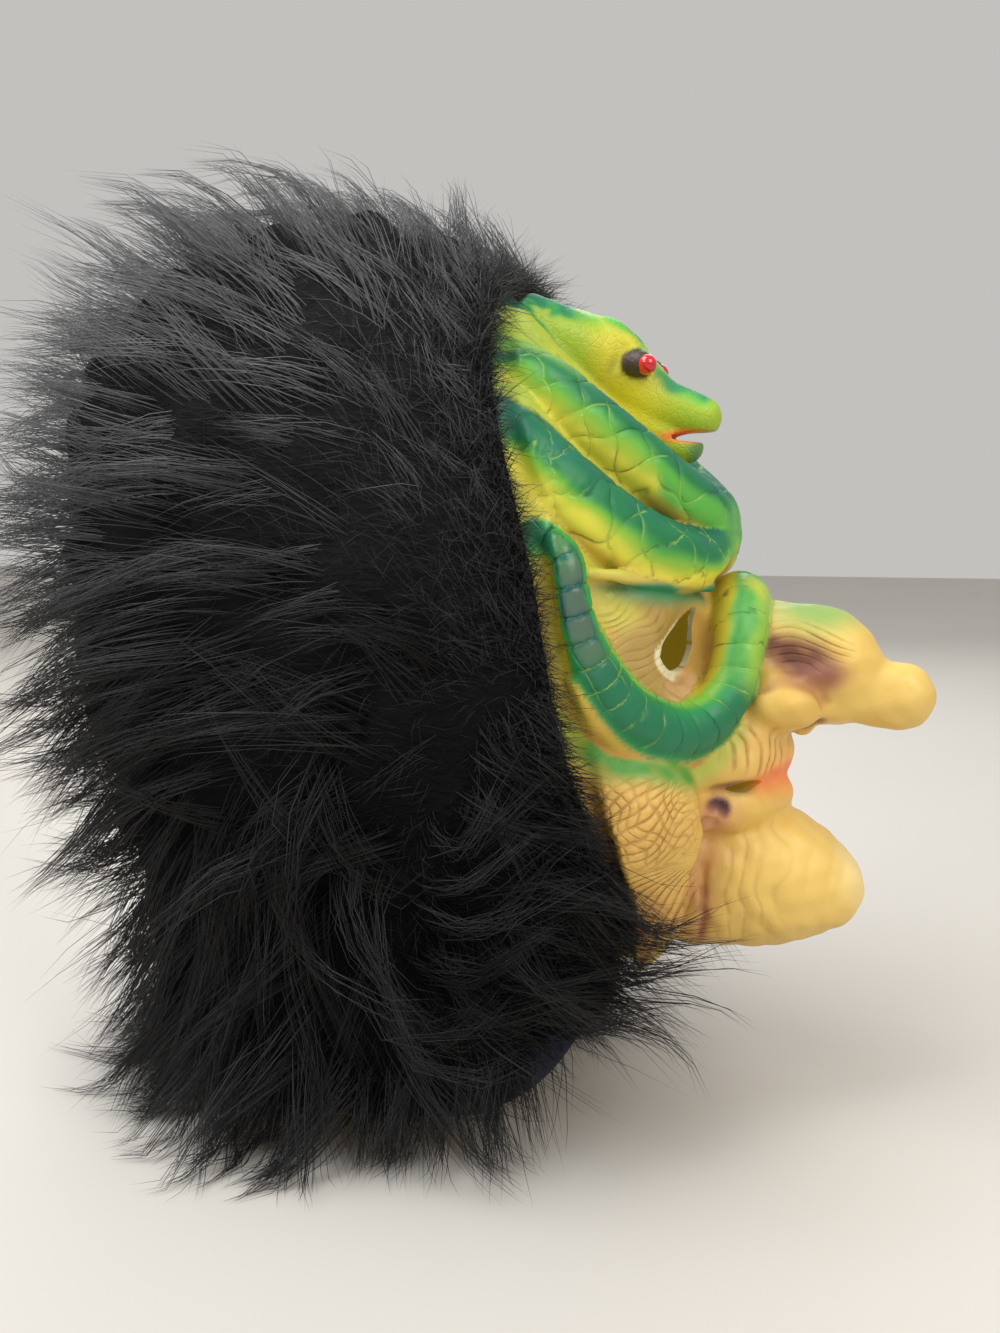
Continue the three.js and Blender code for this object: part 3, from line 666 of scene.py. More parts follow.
class Marks:
    """Where each point lies on the snake and on the face, for lines and paint."""

    def __init__(self, X):
        P = np.array(X, np.float32)
        P[:, 0] = np.abs(P[:, 0])
        self.P = P
        s, p, z = P.T
        self.s, self.p, self.z = s, p, z
        self.depth = -skin_dist(P)
        F, g = head_form(s, p, z)
        self.hn = unit(g)
        self.edge = p - hood_edge(z)
        up = np.array([0, 0, 1], np.float32)

        d, self.cl, foot, ax = coil_all.dist(P, True)
        self.coil_d = d
        n = unit(P - foot)
        ref = unit(up - (ax @ up)[:, None] * ax)
        self.coil_up = (n * ref).sum(1)
        self.coil_a = np.arctan2((n * np.cross(ax, ref)).sum(1), self.coil_up)
        self.coil_out = (n * self.hn).sum(1)

        d, self.tl, foot, ax = tail.dist(P, True)
        self.tail_d = d
        n = unit(P - foot)
        ref = unit(self.hn - (ax * self.hn).sum(1)[:, None] * ax)
        self.tail_out = (n * ref).sum(1)
        side = np.cross(ax, ref)
        self.tail_a = np.arctan2((n * side).sum(1), self.tail_out)
        self.tail_in = (n * unit(np.array([36, 116, -132], np.float32) - foot)).sum(1)

        self.belly_d = belly.dist(P)
        self.neck_d = snake_neck.dist(P)
        self.headsnake_d = np.minimum.reduce([snake_head.dist(P), snake_jaw.dist(P), snake_brow.dist(P), eye_stalk.dist(P), self.neck_d])
        self.jaw_d = snake_jaw.dist(P)
        self.stalk_d = eye_stalk.dist(P)
        N = P * np.array([1 / NOSE_NARROW, 1, 1], np.float32)
        self.nose_d = np.minimum(nose.dist(N), nose_tip.dist(N)) * NOSE_NARROW

        k = np.stack([self.coil_d, self.tail_d, self.headsnake_d], 1)
        self.snake_d = k.min(1)
        on = 1 - sstep(0.3, 1.6, self.snake_d)
        which = k.argmin(1)
        fade = sstep(-2, 6, self.edge)
        self.w_coil = on * (which == 0)
        self.w_tail = on * (which == 1)
        self.w_head = on * (which == 2)
        self.w_skin = 1 - on
        self.fade = fade

    def lines(self):
        """Two families of sculpted lines: coordinate in periods and depth in mm."""
        P, s, p, z = self.P, self.s, self.p, self.z
        n = len(P)
        wa, am = np.zeros(n, np.float32), np.zeros(n, np.float32)
        wb, bm = np.zeros(n, np.float32), np.zeros(n, np.float32)
        wob = waves(P, 26, 3)
        wob2 = waves(P, 14, 4)

        def put(mask, a, amp_a, b=None, amp_b=0.0):
            m = mask > np.maximum(am, bm) / 0.9
            wa[m], am[m] = a[m], (mask * amp_a)[m]
            if b is not None:
                wb[m], bm[m] = b[m], (mask * amp_b)[m]
            else:
                bm[m] = 0

        # coils: crossing diagonals
        back = sstep(78, 92, self.cl)
        per = 13.5 + 3.0 * back
        u = self.cl / per + 0.12 * wob
        v = self.coil_a / (1.6 + 0.35 * back) + 0.10 * wob2
        put(self.w_coil * 0.999 * (1 - window(P, (8, 128, -95), (10, 12, 11))), u + v, 0.42, u - v, 0.36)
        # hairpin: fine belly lines
        put(self.w_coil * window(P, (8, 130, -95), (11, 16, 13), 0.7), self.coil_a * 2.6 + self.cl / 40, 0.35)
        # tail: square plates above, close rings below
        low = sstep(46, 64, self.tl)
        ring = self.tl / 8.2 + 0.22 * low + 0.05 * wob + 0.22 * low * np.abs(self.tail_a)
        put(self.w_tail, ring, 0.62 - 0.17 * low, (self.tail_a + 0.08 * wob2) / 1.16, 0.40 * (1 - low))
        # eyelid and socket: a fan that runs down and back from the eye
        q = z * 0.86 - p * 0.40 + 0.12 * s
        put(self.w_skin * window(P, (50, 108, -130), (24, 24, 18)) * (1 - window(P, (34, 118, -130), (12, 12, 13), 0.7)),
            q / 2.7 + 0.55 * wob + 0.30 * wob2, 0.30 + 0.12 * wob2)
        # lower lid: rings about the eye hole
        r = np.sqrt((s - 33) ** 2 + (p - 119) ** 2 + (z + 131) ** 2)
        put(self.w_skin * window(P, (34, 121, -147), (16, 16, 7)), r / 4.2 + 0.25 * wob, 0.35)
        # upper lip: lines that drop from the nose to the mouth
        turn = np.arctan2(s, p - 112)
        put(self.w_skin * window(P, (18, 142, -168), (20, 18, 11), 0.6) * sstep(-1, 2, self.nose_d),
            turn * 8.5 + 0.03 * (z + 170) + 0.45 * wob + 0.2 * wob2, 0.58)
        # side of the nose
        put(self.w_skin * window(P, (15, 157, -133), (11, 20, 11), 0.45), (z + 0.18 * (p - 150) + 0.006 * (p - 158) ** 2) / 2.6 + 0.5 * wob + 0.2 * wob2, 0.42)
        # cheek: crossed hatching, then a fan on the jowl
        cheek = self.w_skin * window(P, (52, 108, -186), (30, 24, 19), 0.55) * sstep(4, 9, self.belly_d)
        put(cheek, (p * 0.62 - z * 0.78) / 2.7 + 0.7 * wob + 0.25 * wob2, 0.56, (p * 0.85 + z * 0.55) / 3.6 + 0.7 * wob2, 0.48)
        fan = np.arctan2(z + 197, -(p - 125) + 0.3 * (60 - s))
        put(self.w_skin * window(P, (50, 110, -217), (30, 30, 22), 0.65), fan * 9.5 + 0.40 * wob + 0.15 * wob2, 0.85)
        # chin: broad folds round its tip
        r = np.sqrt((s * 0.8) ** 2 + (p - 176) ** 2 + ((z + 208) * 0.9) ** 2)
        put(self.w_skin * window(P, (0, 138, -214), (36, 30, 31), 0.45) * sstep(3, 8, jowl_line.dist(P)),
            r / 6.6 + 0.55 * wob + 0.18 * wob2, 0.80)
        # bridge and neck of the snake's head
        put(self.w_head * sstep(84, 72, p), (p + 0.5 * s) / 9.0 + 0.15 * wob, 0.34, (p - 0.9 * s) / 9.0 + 0.1 * wob2, 0.3)
        am *= self.fade
        bm *= self.fade
        return wa, am, wb, bm


def groove(w, width):
    t = np.abs(w - np.floor(w) - 0.5) * 2
    return 1 - sstep(0, width, t)


# ---------------------------------------------------------------- face
FINE = 1.13
INNER = 4.0
LO, HI = (0, 33, -262), (100, 207, 1)

verts, faces = surface(bounded, LO, HI, FINE)
d0 = skin_dist(verts)
grad = unit(gradient(skin_dist, verts, d0, 0.3))
mk = Marks(verts)
wa, am, wb, bm = mk.lines()
wide = 0.28 + (0.50 + 0.2 * window(mk.P, (0, 140, -214), (36, 34, 33), 0.5)) * mk.w_skin
rise = -am * groove(wa, wide) - bm * groove(wb, wide)
rise += 0.35 * waves(verts * np.array([1, 1, 1], np.float32), 19, 11) * mk.w_skin * mk.fade
rise += 0.25 * waves(verts, 9, 12) * mk.w_skin * mk.fade
plate = mk.w_tail * mk.fade * (1 - sstep(40, 62, mk.tl)) * sstep(0.70, 0.88, mk.tail_out)
rise += 0.55 * plate
verts = verts + grad * rise[:, None].astype(np.float32)
face = mesh_object('face_skin', verts, faces)
iv, iq = surface(lambda P: np.maximum(np.maximum(skin_dist(P) + VINYL, 35.5 - P[:, 1]), -258 - P[:, 2]), LO, HI, INNER)
face = cut(face, mesh_object('inner', iv, iq))

ups = np.arange(-8, -231, -4.0)
rim = [(float(hood_edge(u)) - LAP, u) for u in ups]
behind = [(0, 20), (rim[0][0], 20)] + rim + [(96, -236.5), (108, -240), (116, -243.5), (123, -247.5), (123, -300), (0, -300)]
face = cut(face, prism_across('behind', behind, 140))
for way in (1, -1):
    turn = math.radians(EYE['turn'])
    o = closed_curve([(r['across'], r['up']) for r in EYE_OUTLINE], 45)
    v = []
    for t in (-18, 28):
        for a, u in o:
            v.append((way * (EYE['side'] + a * math.cos(turn) + t * math.sin(turn)),
                      EYE['fore'] - a * math.sin(turn) + t * math.cos(turn), u))
    face = cut(face, prism_faces('eye_cut', v, len(o)))
    o = closed_curve([(r['side'], r['up']) for r in SLIT_OUTLINE], 30)
    v = [(way * a, t, u) for t in (112, 160) for a, u in o]
    face = cut(face, prism_faces('slit_cut', v, len(o)))
print('face tris', sum(len(p.vertices) - 2 for p in face.data.polygons))

# ---------------------------------------------------------------- face paint
X = coords(face)
mk = Marks(X)
wa, am, wb, bm = mk.lines()
P, s, p, z = mk.P, mk.s, mk.p, mk.z
nrm = np.empty(len(X) * 3, np.float32)
face.data.vertices.foreach_get('normal', nrm)
nrm = nrm.reshape(-1, 3)
nz = nrm[:, 2]
soft = waves(P, 16, 21)
soft2 = waves(P, 7, 22)


def over(c, colour, m):
    return c + (srgb(*colour) - c) * np.clip(m, 0, 1)[:, None]


def line_near(chain, reach):
    return 1 - sstep(0, reach, chain.dist(P))


c = np.tile(srgb(220, 180, 90), (len(P), 1))
c = over(c, (230, 194, 104), window(P, (0, 150, -214), (42, 44, 36), 0.4))            # chin
# chin's tip painted pale cream: painted highlight
c = over(c, (242, 218, 152), window(P, (0, 176, -214), (19, 15, 18), 0.2) * 0.9)      # chin's tip
c = over(c, (230, 194, 102), sstep(3, -1, mk.nose_d) * sstep(136, 146, p))             # nose
c = over(c, (220, 184, 100), window(P, (0, 188, -151), (20, 20, 18), 0.4))             # nose's tip
c = over(c, (208, 166, 84), window(P, (58, 104, -192), (32, 28, 26), 0.4) * 0.9)       # cheek
c = over(c, (200, 150, 78), window(P, (48, 106, -216), (24, 24, 20), 0.5) * 0.8)       # jowl
c = over(c, (180, 148, 78), window(P, (42, 114, -132), (32, 26, 26), 0.5))            # eye socket
c = over(c, (222, 174, 130), window(P, (34, 121, -145), (18, 16, 9), 0.4) * 0.7)       # lower lid
c = over(c, (204, 196, 80), window(P, (58, 101, -118), (16, 18, 11), 0.3) * 0.85)       # outer lid
c = over(c, (226, 186, 102), window(P, (14, 142, -168), (24, 20, 13), 0.5) * 0.8)      # upper lip
q = P + np.stack([0 * s, 0 * s, 0.36 * (p - 157)], 1)
bruise = window(q, (17, 158, -138), (16, 23, 13), 0.10)
c = over(c, (152, 96, 72), np.clip(bruise * (1.3 + 0.35 * soft), 0, 0.85))
c = over(c, (104, 60, 54), np.clip(window(q, (17, 156, -137.5), (14, 18, 8), 0.10) * (1.2 + 0.5 * soft2), 0, 0.88))
c = over(c, (142, 88, 68), window(P, (18, 162, -143), (14, 12, 8), 0.05) * 0.8)
c = over(c, (128, 170, 92), window(P, (4, 160, -122), (20, 25, 15), 0.2) * 0.9)        # green on the bridge
c = over(c, (180, 128, 78), line_near(ala_line, 2.6) * 0.7)                            # crease over the wing
c = over(c, (120, 78, 52), (1 - sstep(0.2, 1.8, mass(P, 10, 160, -163, 5.5, 6, 5.5))) * 0.8)
lip = window(P, (4, 148, -178.5), (30, 20, 12), 0.2)
c = over(c, (240, 156, 84), lip * 0.85)
c = over(c, (232, 110, 52), lip * (1 - sstep(0, 4.5, mouth_line.dist(P))) * 0.95)
c = over(c, (120, 110, 44), window(P, (24, 139, -180.5), (9, 8, 3.2), 0.2) * 0.9)      # shade in the slit
c = over(c, (206, 150, 92), window(P, (29, 136, -190), (10, 9, 9), 0.3) * 0.45)
pit = mass(P, 32.8, 132.6, -185.2, 4.4, 3.9, 4.7)
c = over(c, (166, 112, 80), 1 - sstep(0.4, 2.4, pit))
c = over(c, (58, 34, 48), sstep(1.1, 0.3, pit))                                       # hollow at the corner
c = over(c, (130, 84, 62), line_near(mouth_line, 2.0) * sstep(22, 28, s))
jl = jowl_line.dist(P)
c = over(c, (200, 138, 98), (1 - sstep(0.5, 7.5, jl)) * 0.85)
c = over(c, (148, 88, 66), (1 - sstep(0.1, 2.0, jl)) * 0.85)
c = over(c, (206, 150, 104), window(P, (34, 128, -196), (12, 12, 12), 0.2) * 0.45)
cr = crease.dist(P)
c = over(c, (206, 150, 96), (1 - sstep(0.5, 5 + 1.5 * soft, cr)) * 0.6)
c = over(c, (160, 100, 70), (1 - sstep(-0.6, 0.9, cr + 0.4 * soft2)) * 0.6)
# lid crease
dl = lid.dist(P)
c = over(c, (214, 190, 92), (1 - sstep(0.2, 2.5, dl)) * 0.7)
under_lid = (1 - sstep(0.4, 8.5, dl)) * sstep(-109.6, -112.8, z) * sstep(70, 46, s)
c = over(c, (40, 140, 98), under_lid)
c = over(c, (150, 180, 84), (1 - sstep(1, 8, dl)) * sstep(-109, -106, z) * 0.7)
c = over(c, (62, 150, 92), window(P, (25, 126, -130), (6, 8, 21), 0.4) * sstep(125, 128, p) * 0.85)
# airbrushed halo under the loop
halo = (1 - sstep(4, 12 + 0.9 * np.clip(soft, -1, 1), mk.belly_d)) * sstep(0.4, 2.2, mk.belly_d) * sstep(-148, -158, z)
c = over(c, (82, 150, 58), np.clip(halo * (1.0 + 0.15 * soft2), 0, 1) * sstep(24, 46, s))
c = over(c, (184, 192, 84), halo * sstep(46, 34, s) * sstep(9, 5, mk.belly_d) * 0.7)
c = over(c, (188, 192, 62), window(P, (70, 88, -150), (12, 12, 34), 0.5) * (1 - window(P, (60, 96, -150), (8, 8, 10))) * 0.8)
# under the coils and round the neck
c = over(c, (226, 217, 80), sstep(-112, -104, z) * 0.9)
c = over(c, (150, 190, 66), sstep(-86, -40, z) * sstep(12, 40, s) * 0.7)
c = over(c, (120, 170, 70), sstep(-112, -104, z) * sstep(0.4, 3.0, mk.snake_d) * sstep(6, 3, mk.snake_d) * 0.25)
# the ochre belly of the loop and its brown outer line
be = (1 - sstep(0.1, 1.2, mk.belly_d)) * mk.w_skin
c = over(c, (200, 178, 64), be)
c = over(c, (186, 126, 56), (1 - sstep(0.2, 1.3, np.abs(mk.belly_d - 0.7))) * mk.w_skin * 0.6 * sstep(-140, -150, z))

# coil
k = mk.coil_up + 0.12 * soft
front = sstep(50, 74, mk.cl) * (1 - sstep(118, 128, mk.cl))
backpart = sstep(74, 84, mk.cl)
lime = (1 - sstep(28, 52, mk.cl)) * sstep(0.55, 0.9, mk.coil_up)
g = sstep(-0.30, 0.28, k + 0.55 * front * backpart + 0.18 * backpart)
cc = np.tile(srgb(236, 227, 76), (len(P), 1))
cc = over(cc, (166, 198, 54), sstep(-0.7, -0.2, k))
cc = over(cc, (92, 178, 66), g)
cc = over(cc, (24, 120, 70), sstep(0.08, 0.55, k + 0.30 * backpart))
cc = over(cc, (24, 110, 86), sstep(0.48, 0.9, k + 0.10 * soft2 + 0.12 * backpart) * 0.85)
cc = over(cc, (150, 196, 60), lime * 0.55)
hp = window(P, (8, 131, -95), (12, 15, 14), 0.4)
cc = over(cc, (112, 184, 90), hp * 0.7)
cc = over(cc, (204, 168, 74), sstep(-0.6, -0.9, mk.coil_up) * backpart * 0.8)
c = c + (cc - c) * mk.w_coil[:, None]
# tail
k = mk.tail_out + 0.06 * soft
up_part = 1 - sstep(28, 58, mk.tl)
arm = sstep(112, 126, mk.tl)
tc = np.tile(srgb(206, 190, 58), (len(P), 1))
tc = over(tc, (130, 190, 66), sstep(-0.1, 0.30, k + 0.25 * mk.tail_in))
tc = over(tc, (44, 154, 80), sstep(0.15, 0.6, k) * (1 - 0.35 * arm))
tc = over(tc, (24, 116, 76), sstep(0.40 + 0.30 * up_part, 0.95, k) * (1 - arm))
tc = over(tc, (34, 92, 92), sstep(0.80, 0.90, k + 0.03 * soft2) * up_part * sstep(9, 18, mk.tl) * 0.9)
tc = over(tc, (160, 202, 78), arm * sstep(0.60, 0.95, k) * 0.8)
tc = over(tc, (44, 148, 80), arm * sstep(0.1, -0.3, np.abs(k - 0.25) - 0.25) * 0.8)
tc = over(tc, (196, 202, 60), window(P, (9, 140, -116), (9, 9, 9), 0.3) * 0.8)
c = c + (tc - c) * mk.w_tail[:, None]
# snake's head
hc = np.tile(srgb(210, 202, 46), (len(P), 1))
hc = over(hc, (156, 182, 42), sstep(98, 118, p))
hc = over(hc, (96, 178, 66), sstep(0.30, 0.75, nz + 0.1 * soft) * (1 - window(P, (11, 84, -30), (9, 11, 8), 0.4)))
hc = over(hc, (30, 126, 86), sstep(0.60, 0.90, nz + 0.08 * soft) * sstep(12, 6, s) * sstep(76, 88, p))
hc = over(hc, (140, 190, 56), sstep(90, 80, p) * 0.7)
hc = over(hc, (52, 150, 74), sstep(86, 76, p) * sstep(0.10, 0.45, nz + 0.15 * soft))
hc = over(hc, (26, 118, 82), sstep(84, 74, p) * sstep(0.45, 0.8, nz + 0.12 * soft2))
hc = over(hc, (40, 130, 80), window(P, (7, 108, -44), (6, 14, 7), 0.5) * sstep(0.2, 0.6, nz) * 0.85)
hc = over(hc, (160, 196, 50), sstep(121, 125, p) * sstep(-0.1, 0.4, nz) * 0.8)
hc = over(hc, (120, 182, 64), sstep(-42, -50, z) * sstep(92, 84, p) * 0.6)
jaw = sstep(1.5, 0.2, mk.jaw_d) * sstep(-60, -64, z)
hc = over(hc, (158, 190, 62), jaw * 0.7)
hc = over(hc, (60, 116, 76), jaw * sstep(114, 119, p) * 0.8)
hc = over(hc, (236, 122, 46), window(P, (4, 115, -63), (14, 14, 3.4), 0.35))
stalk = sstep(1.0, 0.1, mk.stalk_d) * sstep(92, 95, p)
hc = over(hc, (64, 50, 46), stalk)
hc = over(hc, (120, 110, 50), window(P, (11, 91, -39), (7, 6, 6), 0.2) * (1 - stalk) * 0.7)
c = c + (hc - c) * mk.w_head[:, None]
# bare vinyl round the lower back of each eye hole
turn = math.radians(EYE['turn'])
across = (s - EYE['side']) * math.cos(turn) - (p - EYE['fore']) * math.sin(turn)
ring = np.array(closed_curve([(r['across'], r['up']) for r in EYE_OUTLINE], 120), np.float32)
near = np.full(len(P), 99.0, np.float32)
close = np.nonzero((np.abs(across) < 26) & (np.abs(z + 128) < 22) & (p > 96))[0]
near[close] = np.sqrt(((across[close, None] - ring[None, :, 0]) ** 2 + (z[close, None] - ring[None, :, 1]) ** 2).min(1))
wide_lip = 1.1 + 2.0 * sstep(0, 7, across) * sstep(-128, -133, z)
c = over(c, (240, 230, 190), (1 - sstep(0, 0.8, near - wide_lip)) * sstep(-6, 3, across) * sstep(-119, -126, z) * mk.w_skin)
# inside of the moulding
inside = sstep(1.25, 1.8, mk.depth)
c = over(c, (150, 116, 26), inside)

add_colour(face, 'paint', c)
soft_fold = 1 - 0.8 * window(P, (0, 140, -214), (36, 34, 33), 0.5)
for name, values in (('line_a', wa), ('depth_a', am * (1 - inside) * soft_fold), ('line_b', wb), ('depth_b', bm * (1 - inside)),
                     ('snake', (mk.w_coil + mk.w_tail) * (1 - inside)), ('scaly', mk.w_head * (1 - inside)),
                     ('skin', mk.w_skin * (1 - inside)), ('inner', inside), ('plates', mk.w_tail * up_part)):
    add_float(face, name, values)

# cut edges of the moulding, bare vinyl
nf = len(face.data.polygons)
cen = np.empty(nf * 3, np.float32)
face.data.polygons.foreach_get('center', cen)
cen = cen.reshape(-1, 3) * 1000
cen[:, 1] *= -1
fn = np.empty(nf * 3, np.float32)
face.data.polygons.foreach_get('normal', fn)
fn = fn.reshape(-1, 3) * np.array([1, -1, 1], np.float32)
dd = -skin_dist(cen)
sq = np.abs((fn * unit(gradient(skin_dist, cen, -dd, 0.3))).sum(1))
edge_face = (dd > 0.35) & (dd < VINYL - 0.2) & (sq < 0.45) & (np.abs(cen[:, 2] + 131) < 14) & (cen[:, 1] > 100)

vm = Mat('moulded_vinyl')
la, da = vm.attr('line_a').outputs['Fac'], vm.attr('depth_a').outputs['Fac']
lb, db = vm.attr('line_b').outputs['Fac'], vm.attr('depth_b').outputs['Fac']
snake_w, scaly, skin_w = (vm.attr(n).outputs['Fac'] for n in ('snake', 'scaly', 'skin'))


def line_mask(m, w, width):
    f = m.math('FRACT', w)
    t = m.math('MULTIPLY', m.math('ABSOLUTE', m.math('SUBTRACT', f, 0.5)), 2.0)
    return m.ramp(t, 0.0, width, 1.0, 0.0)


amp_a, amp_b = vm.math('MULTIPLY', da, 1.6, clamp=True), vm.math('MULTIPLY', db, 1.6, clamp=True)
fade = vm.ramp(vm.noise(170.0, 2.0), 0.30, 0.62)
thin = vm.math('MAXIMUM', vm.math('MULTIPLY', line_mask(vm, la, 0.12), amp_a), vm.math('MULTIPLY', line_mask(vm, lb, 0.12), amp_b))
broad = vm.math('MAXIMUM', vm.math('MULTIPLY', line_mask(vm, la, 0.46), amp_a), vm.math('MULTIPLY', line_mask(vm, lb, 0.40), amp_b))
paint = vm.attr('paint').outputs['Color']
mott = vm.noise(60.0, 4.0)
paint = vm.mix(vm.ramp(mott, 0.3, 0.7, 0.0, 0.12), paint, vm.mix(1.0, paint, rgba(206, 176, 120), 'MULTIPLY'))
skin_line = vm.math('MULTIPLY', vm.math('MULTIPLY', broad, skin_w), vm.math('ADD', vm.math('MULTIPLY', fade, 0.6), 0.4))
paint = vm.mix(vm.math('MULTIPLY', skin_line, 0.58), paint, vm.mix(1.0, paint, rgba(170, 118, 76), 'MULTIPLY'))
snake_line = vm.math('MULTIPLY', vm.math('MULTIPLY', thin, snake_w), fade)
pale_or_dark = vm.ramp(vm.noise(45.0, 1.0), 0.46, 0.54)
line_col = vm.mix(vm.math('MAXIMUM', pale_or_dark, vm.attr('plates').outputs['Fac']), rgba(160, 200, 84), rgba(16, 72, 54))
paint = vm.mix(vm.math('MULTIPLY', snake_line, 0.9), paint, line_col)
gl = vm.math('ADD', vm.math('MULTIPLY', snake_line, 0.8), skin_line)
scale = vm.n('ShaderNodeTexVoronoi', feature='DISTANCE_TO_EDGE')
vm.put(scale.inputs['Vector'], vm.obj())
scale.inputs['Scale'].default_value = 420.0
cell = vm.ramp(scale.outputs['Distance'], 0.0, 0.16)
fine = vm.noise(900.0, 3.0)
pores = vm.noise(380.0, 4.0)
h = vm.math('MULTIPLY', gl, -1.0)
h = vm.math('ADD', h, vm.math('MULTIPLY', vm.math('MULTIPLY', cell, scaly), 0.16))
h = vm.math('ADD', h, vm.math('MULTIPLY', pores, vm.math('MULTIPLY', skin_w, 0.35)))
h = vm.math('ADD', h, vm.math('MULTIPLY', fine, 0.06))
gloss = vm.math('MULTIPLY', vm.attr('plates').outputs['Fac'], 0.15)
vm.set(Base_Color=paint, Roughness=vm.math('SUBTRACT', vm.ramp(vm.noise(90.0, 3.0), 0.3, 0.7, 0.36, 0.50), gloss),
       Normal=vm.bump(h, 0.55, 0.0009))
vm.b.inputs['Specular IOR Level'].default_value = 0.42
through = vm.mix(vm.attr('inner').outputs['Fac'], (0, 0, 0, 1), rgba(168, 142, 34))
vm.set(Emission_Color=through)
vm.b.inputs['Emission Strength'].default_value = 0.30       # daylight through thin vinyl
em = Mat('vinyl_cut_edge')
em.set(Base_Color=em.mix(em.noise(200.0), rgba(226, 216, 170), rgba(238, 230, 190)), Roughness=0.5,
       Normal=em.bump(em.noise(700.0), 0.3, 0.0004))
face.data.materials.clear()
face.data.materials.append(vm.m)
face.data.materials.append(em.m)
face.data.polygons.foreach_set('material_index', edge_face.astype(np.int32))
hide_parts("face_mask")
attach(face, "root")


# ---------------------------------------------------------------- snake's bead eyes
def bead(name, way):
    """Glossy bead with a fine seat ring behind it."""
    c = np.array([way * BEAD['side'], BEAD['fore'], BEAD['up']])
    out = unit(np.array([way * 0.78, 0.60, 0.10]))
    a = unit(np.cross(out, np.array([0, 0, 1.0])))
    b = np.cross(out, a)
    prof = []
    for t in np.linspace(0, math.pi, 19):
        prof.append((BEAD['r'] * 0.97 * math.sin(t), BEAD['r'] * 0.97 * math.cos(t)))
    prof = [(r + (0.10 * BEAD['r'] if abs(h + 0.35 * BEAD['r']) < 0.16 * BEAD['r'] else 0), h) for r, h in prof]
    seg = 28
    v = [c + out * prof[0][1]]
    for r, h in prof[1:-1]:
        for k in range(seg):
            t = 2 * math.pi * k / seg
            v.append(c + out * h + (a * math.cos(t) + b * math.sin(t)) * r)
    v.append(c + out * prof[-1][1])
    f = []
    rings = len(prof) - 2
    for k in range(seg):
        f.append((0, 1 + k, 1 + (k + 1) % seg))
        for i in range(rings - 1):
            p0, p1 = 1 + i * seg + k, 1 + i * seg + (k + 1) % seg
            f.append((p0, p0 + seg, p1))
            f.append((p1, p0 + seg, p1 + seg))
        f.append((1 + (rings - 1) * seg + k, len(v) - 1, 1 + (rings - 1) * seg + (k + 1) % seg))
    ob = mesh_object(name, np.array(v), np.array(f))
    m = Mat(name + '_red')
    m.set(Base_Color=m.mix(m.noise(500.0), rgba(190, 12, 22), rgba(214, 26, 34)), Roughness=0.12,
          Normal=m.bump(m.noise(900.0), 0.08, 0.0002))
    m.b.inputs['Coat Weight'].default_value = 0.6
    ob.data.materials.append(m.m)
    return ob


for way, node in ((1, 'snake_eye_left'), (-1, 'snake_eye_right')):
    ob = bead(node + '_bead', way)
    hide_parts(node)
    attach(ob, "root")

# ---------------------------------------------------------------- hood backing
EASE, CLOTH, HEM = 1.3, 1.6, -285.0
RING = 84
HEIGHTS = np.concatenate([np.linspace(-300, -60, 41), np.linspace(-55, -12, 12), [-9, -6.5, -4.5, -3, -1.8, -1.0, -0.5]])


def hood_grid(lift):
    """Rings of the head form, lifted off it by lift(points) mm; last point is the pole."""
    t = np.arange(RING) * 2 * math.pi / RING
    k = 2 / HEAD_SQUARE
    cx, sx = np.cos(t), np.sin(t)
    ux, uy = np.sign(cx) * np.abs(cx) ** k, np.sign(sx) * np.abs(sx) ** k
    pts = []
    for h in HEIGHTS:
        fr = np.where(uy > 0, head_front(h), head_back(h))
        pts.append(np.column_stack([ux * head_half(h), uy * fr, np.full(RING, h)]))
    P = np.concatenate(pts)
    n = head_normal(P)
    P = P + n * lift(P)[:, None]
    top = np.array([[0, 0, 0.0]])
    top[0, 2] += lift(top)[0]
    V = np.concatenate([P, top, [[0, 0, HEIGHTS[0]]]])
    L = len(HEIGHTS)
    f = []
    k = np.arange(RING)
    k2 = (k + 1) % RING
    for i in range(L - 1):
        a, b = i * RING + k, i * RING + k2
        f.append(np.column_stack([a, a + RING, b]))
        f.append(np.column_stack([b, a + RING, b + RING]))
    f.append(np.column_stack([(L - 1) * RING + k, np.full(RING, L * RING), (L - 1) * RING + k2]))
    f.append(np.column_stack([k2, np.full(RING, L * RING + 1), k]))
    return V, np.concatenate(f)


def head_normal(P):
    s = np.where(P[:, 0] < 0, -1.0, 1.0)
    _, g = head_form(np.abs(P[:, 0]), P[:, 1], P[:, 2])
    g = g * np.stack([s, np.ones_like(s), np.ones_like(s)], 1)
    n = unit(g)
    w = sstep(-8, -1.0, P[:, 2])[:, None]
    return unit(n * (1 - w) + np.array([0, 0, 1.0]) * w)


def height_off_head(P):
    """Distance off the head form, held to the crown's cap above it."""
    d = head_dist(np.abs(P[:, 0]), P[:, 1], P[:, 2])
    return np.where(P[:, 2] > -2.5, np.maximum(P[:, 2], d * (P[:, 2] < 0)), d)


def front_prism(name, step_back=0.0):
    e = [(float(hood_edge(u)) - step_back, u) for u in np.arange(12, -285, -4.0)]
    return prism_across(name, [(e[0][0], 60), *e, (float(hood_edge(HEM)) - step_back, HEM), (-200, HEM), (-200, -320), (260, -320), (260, 60)], 160)


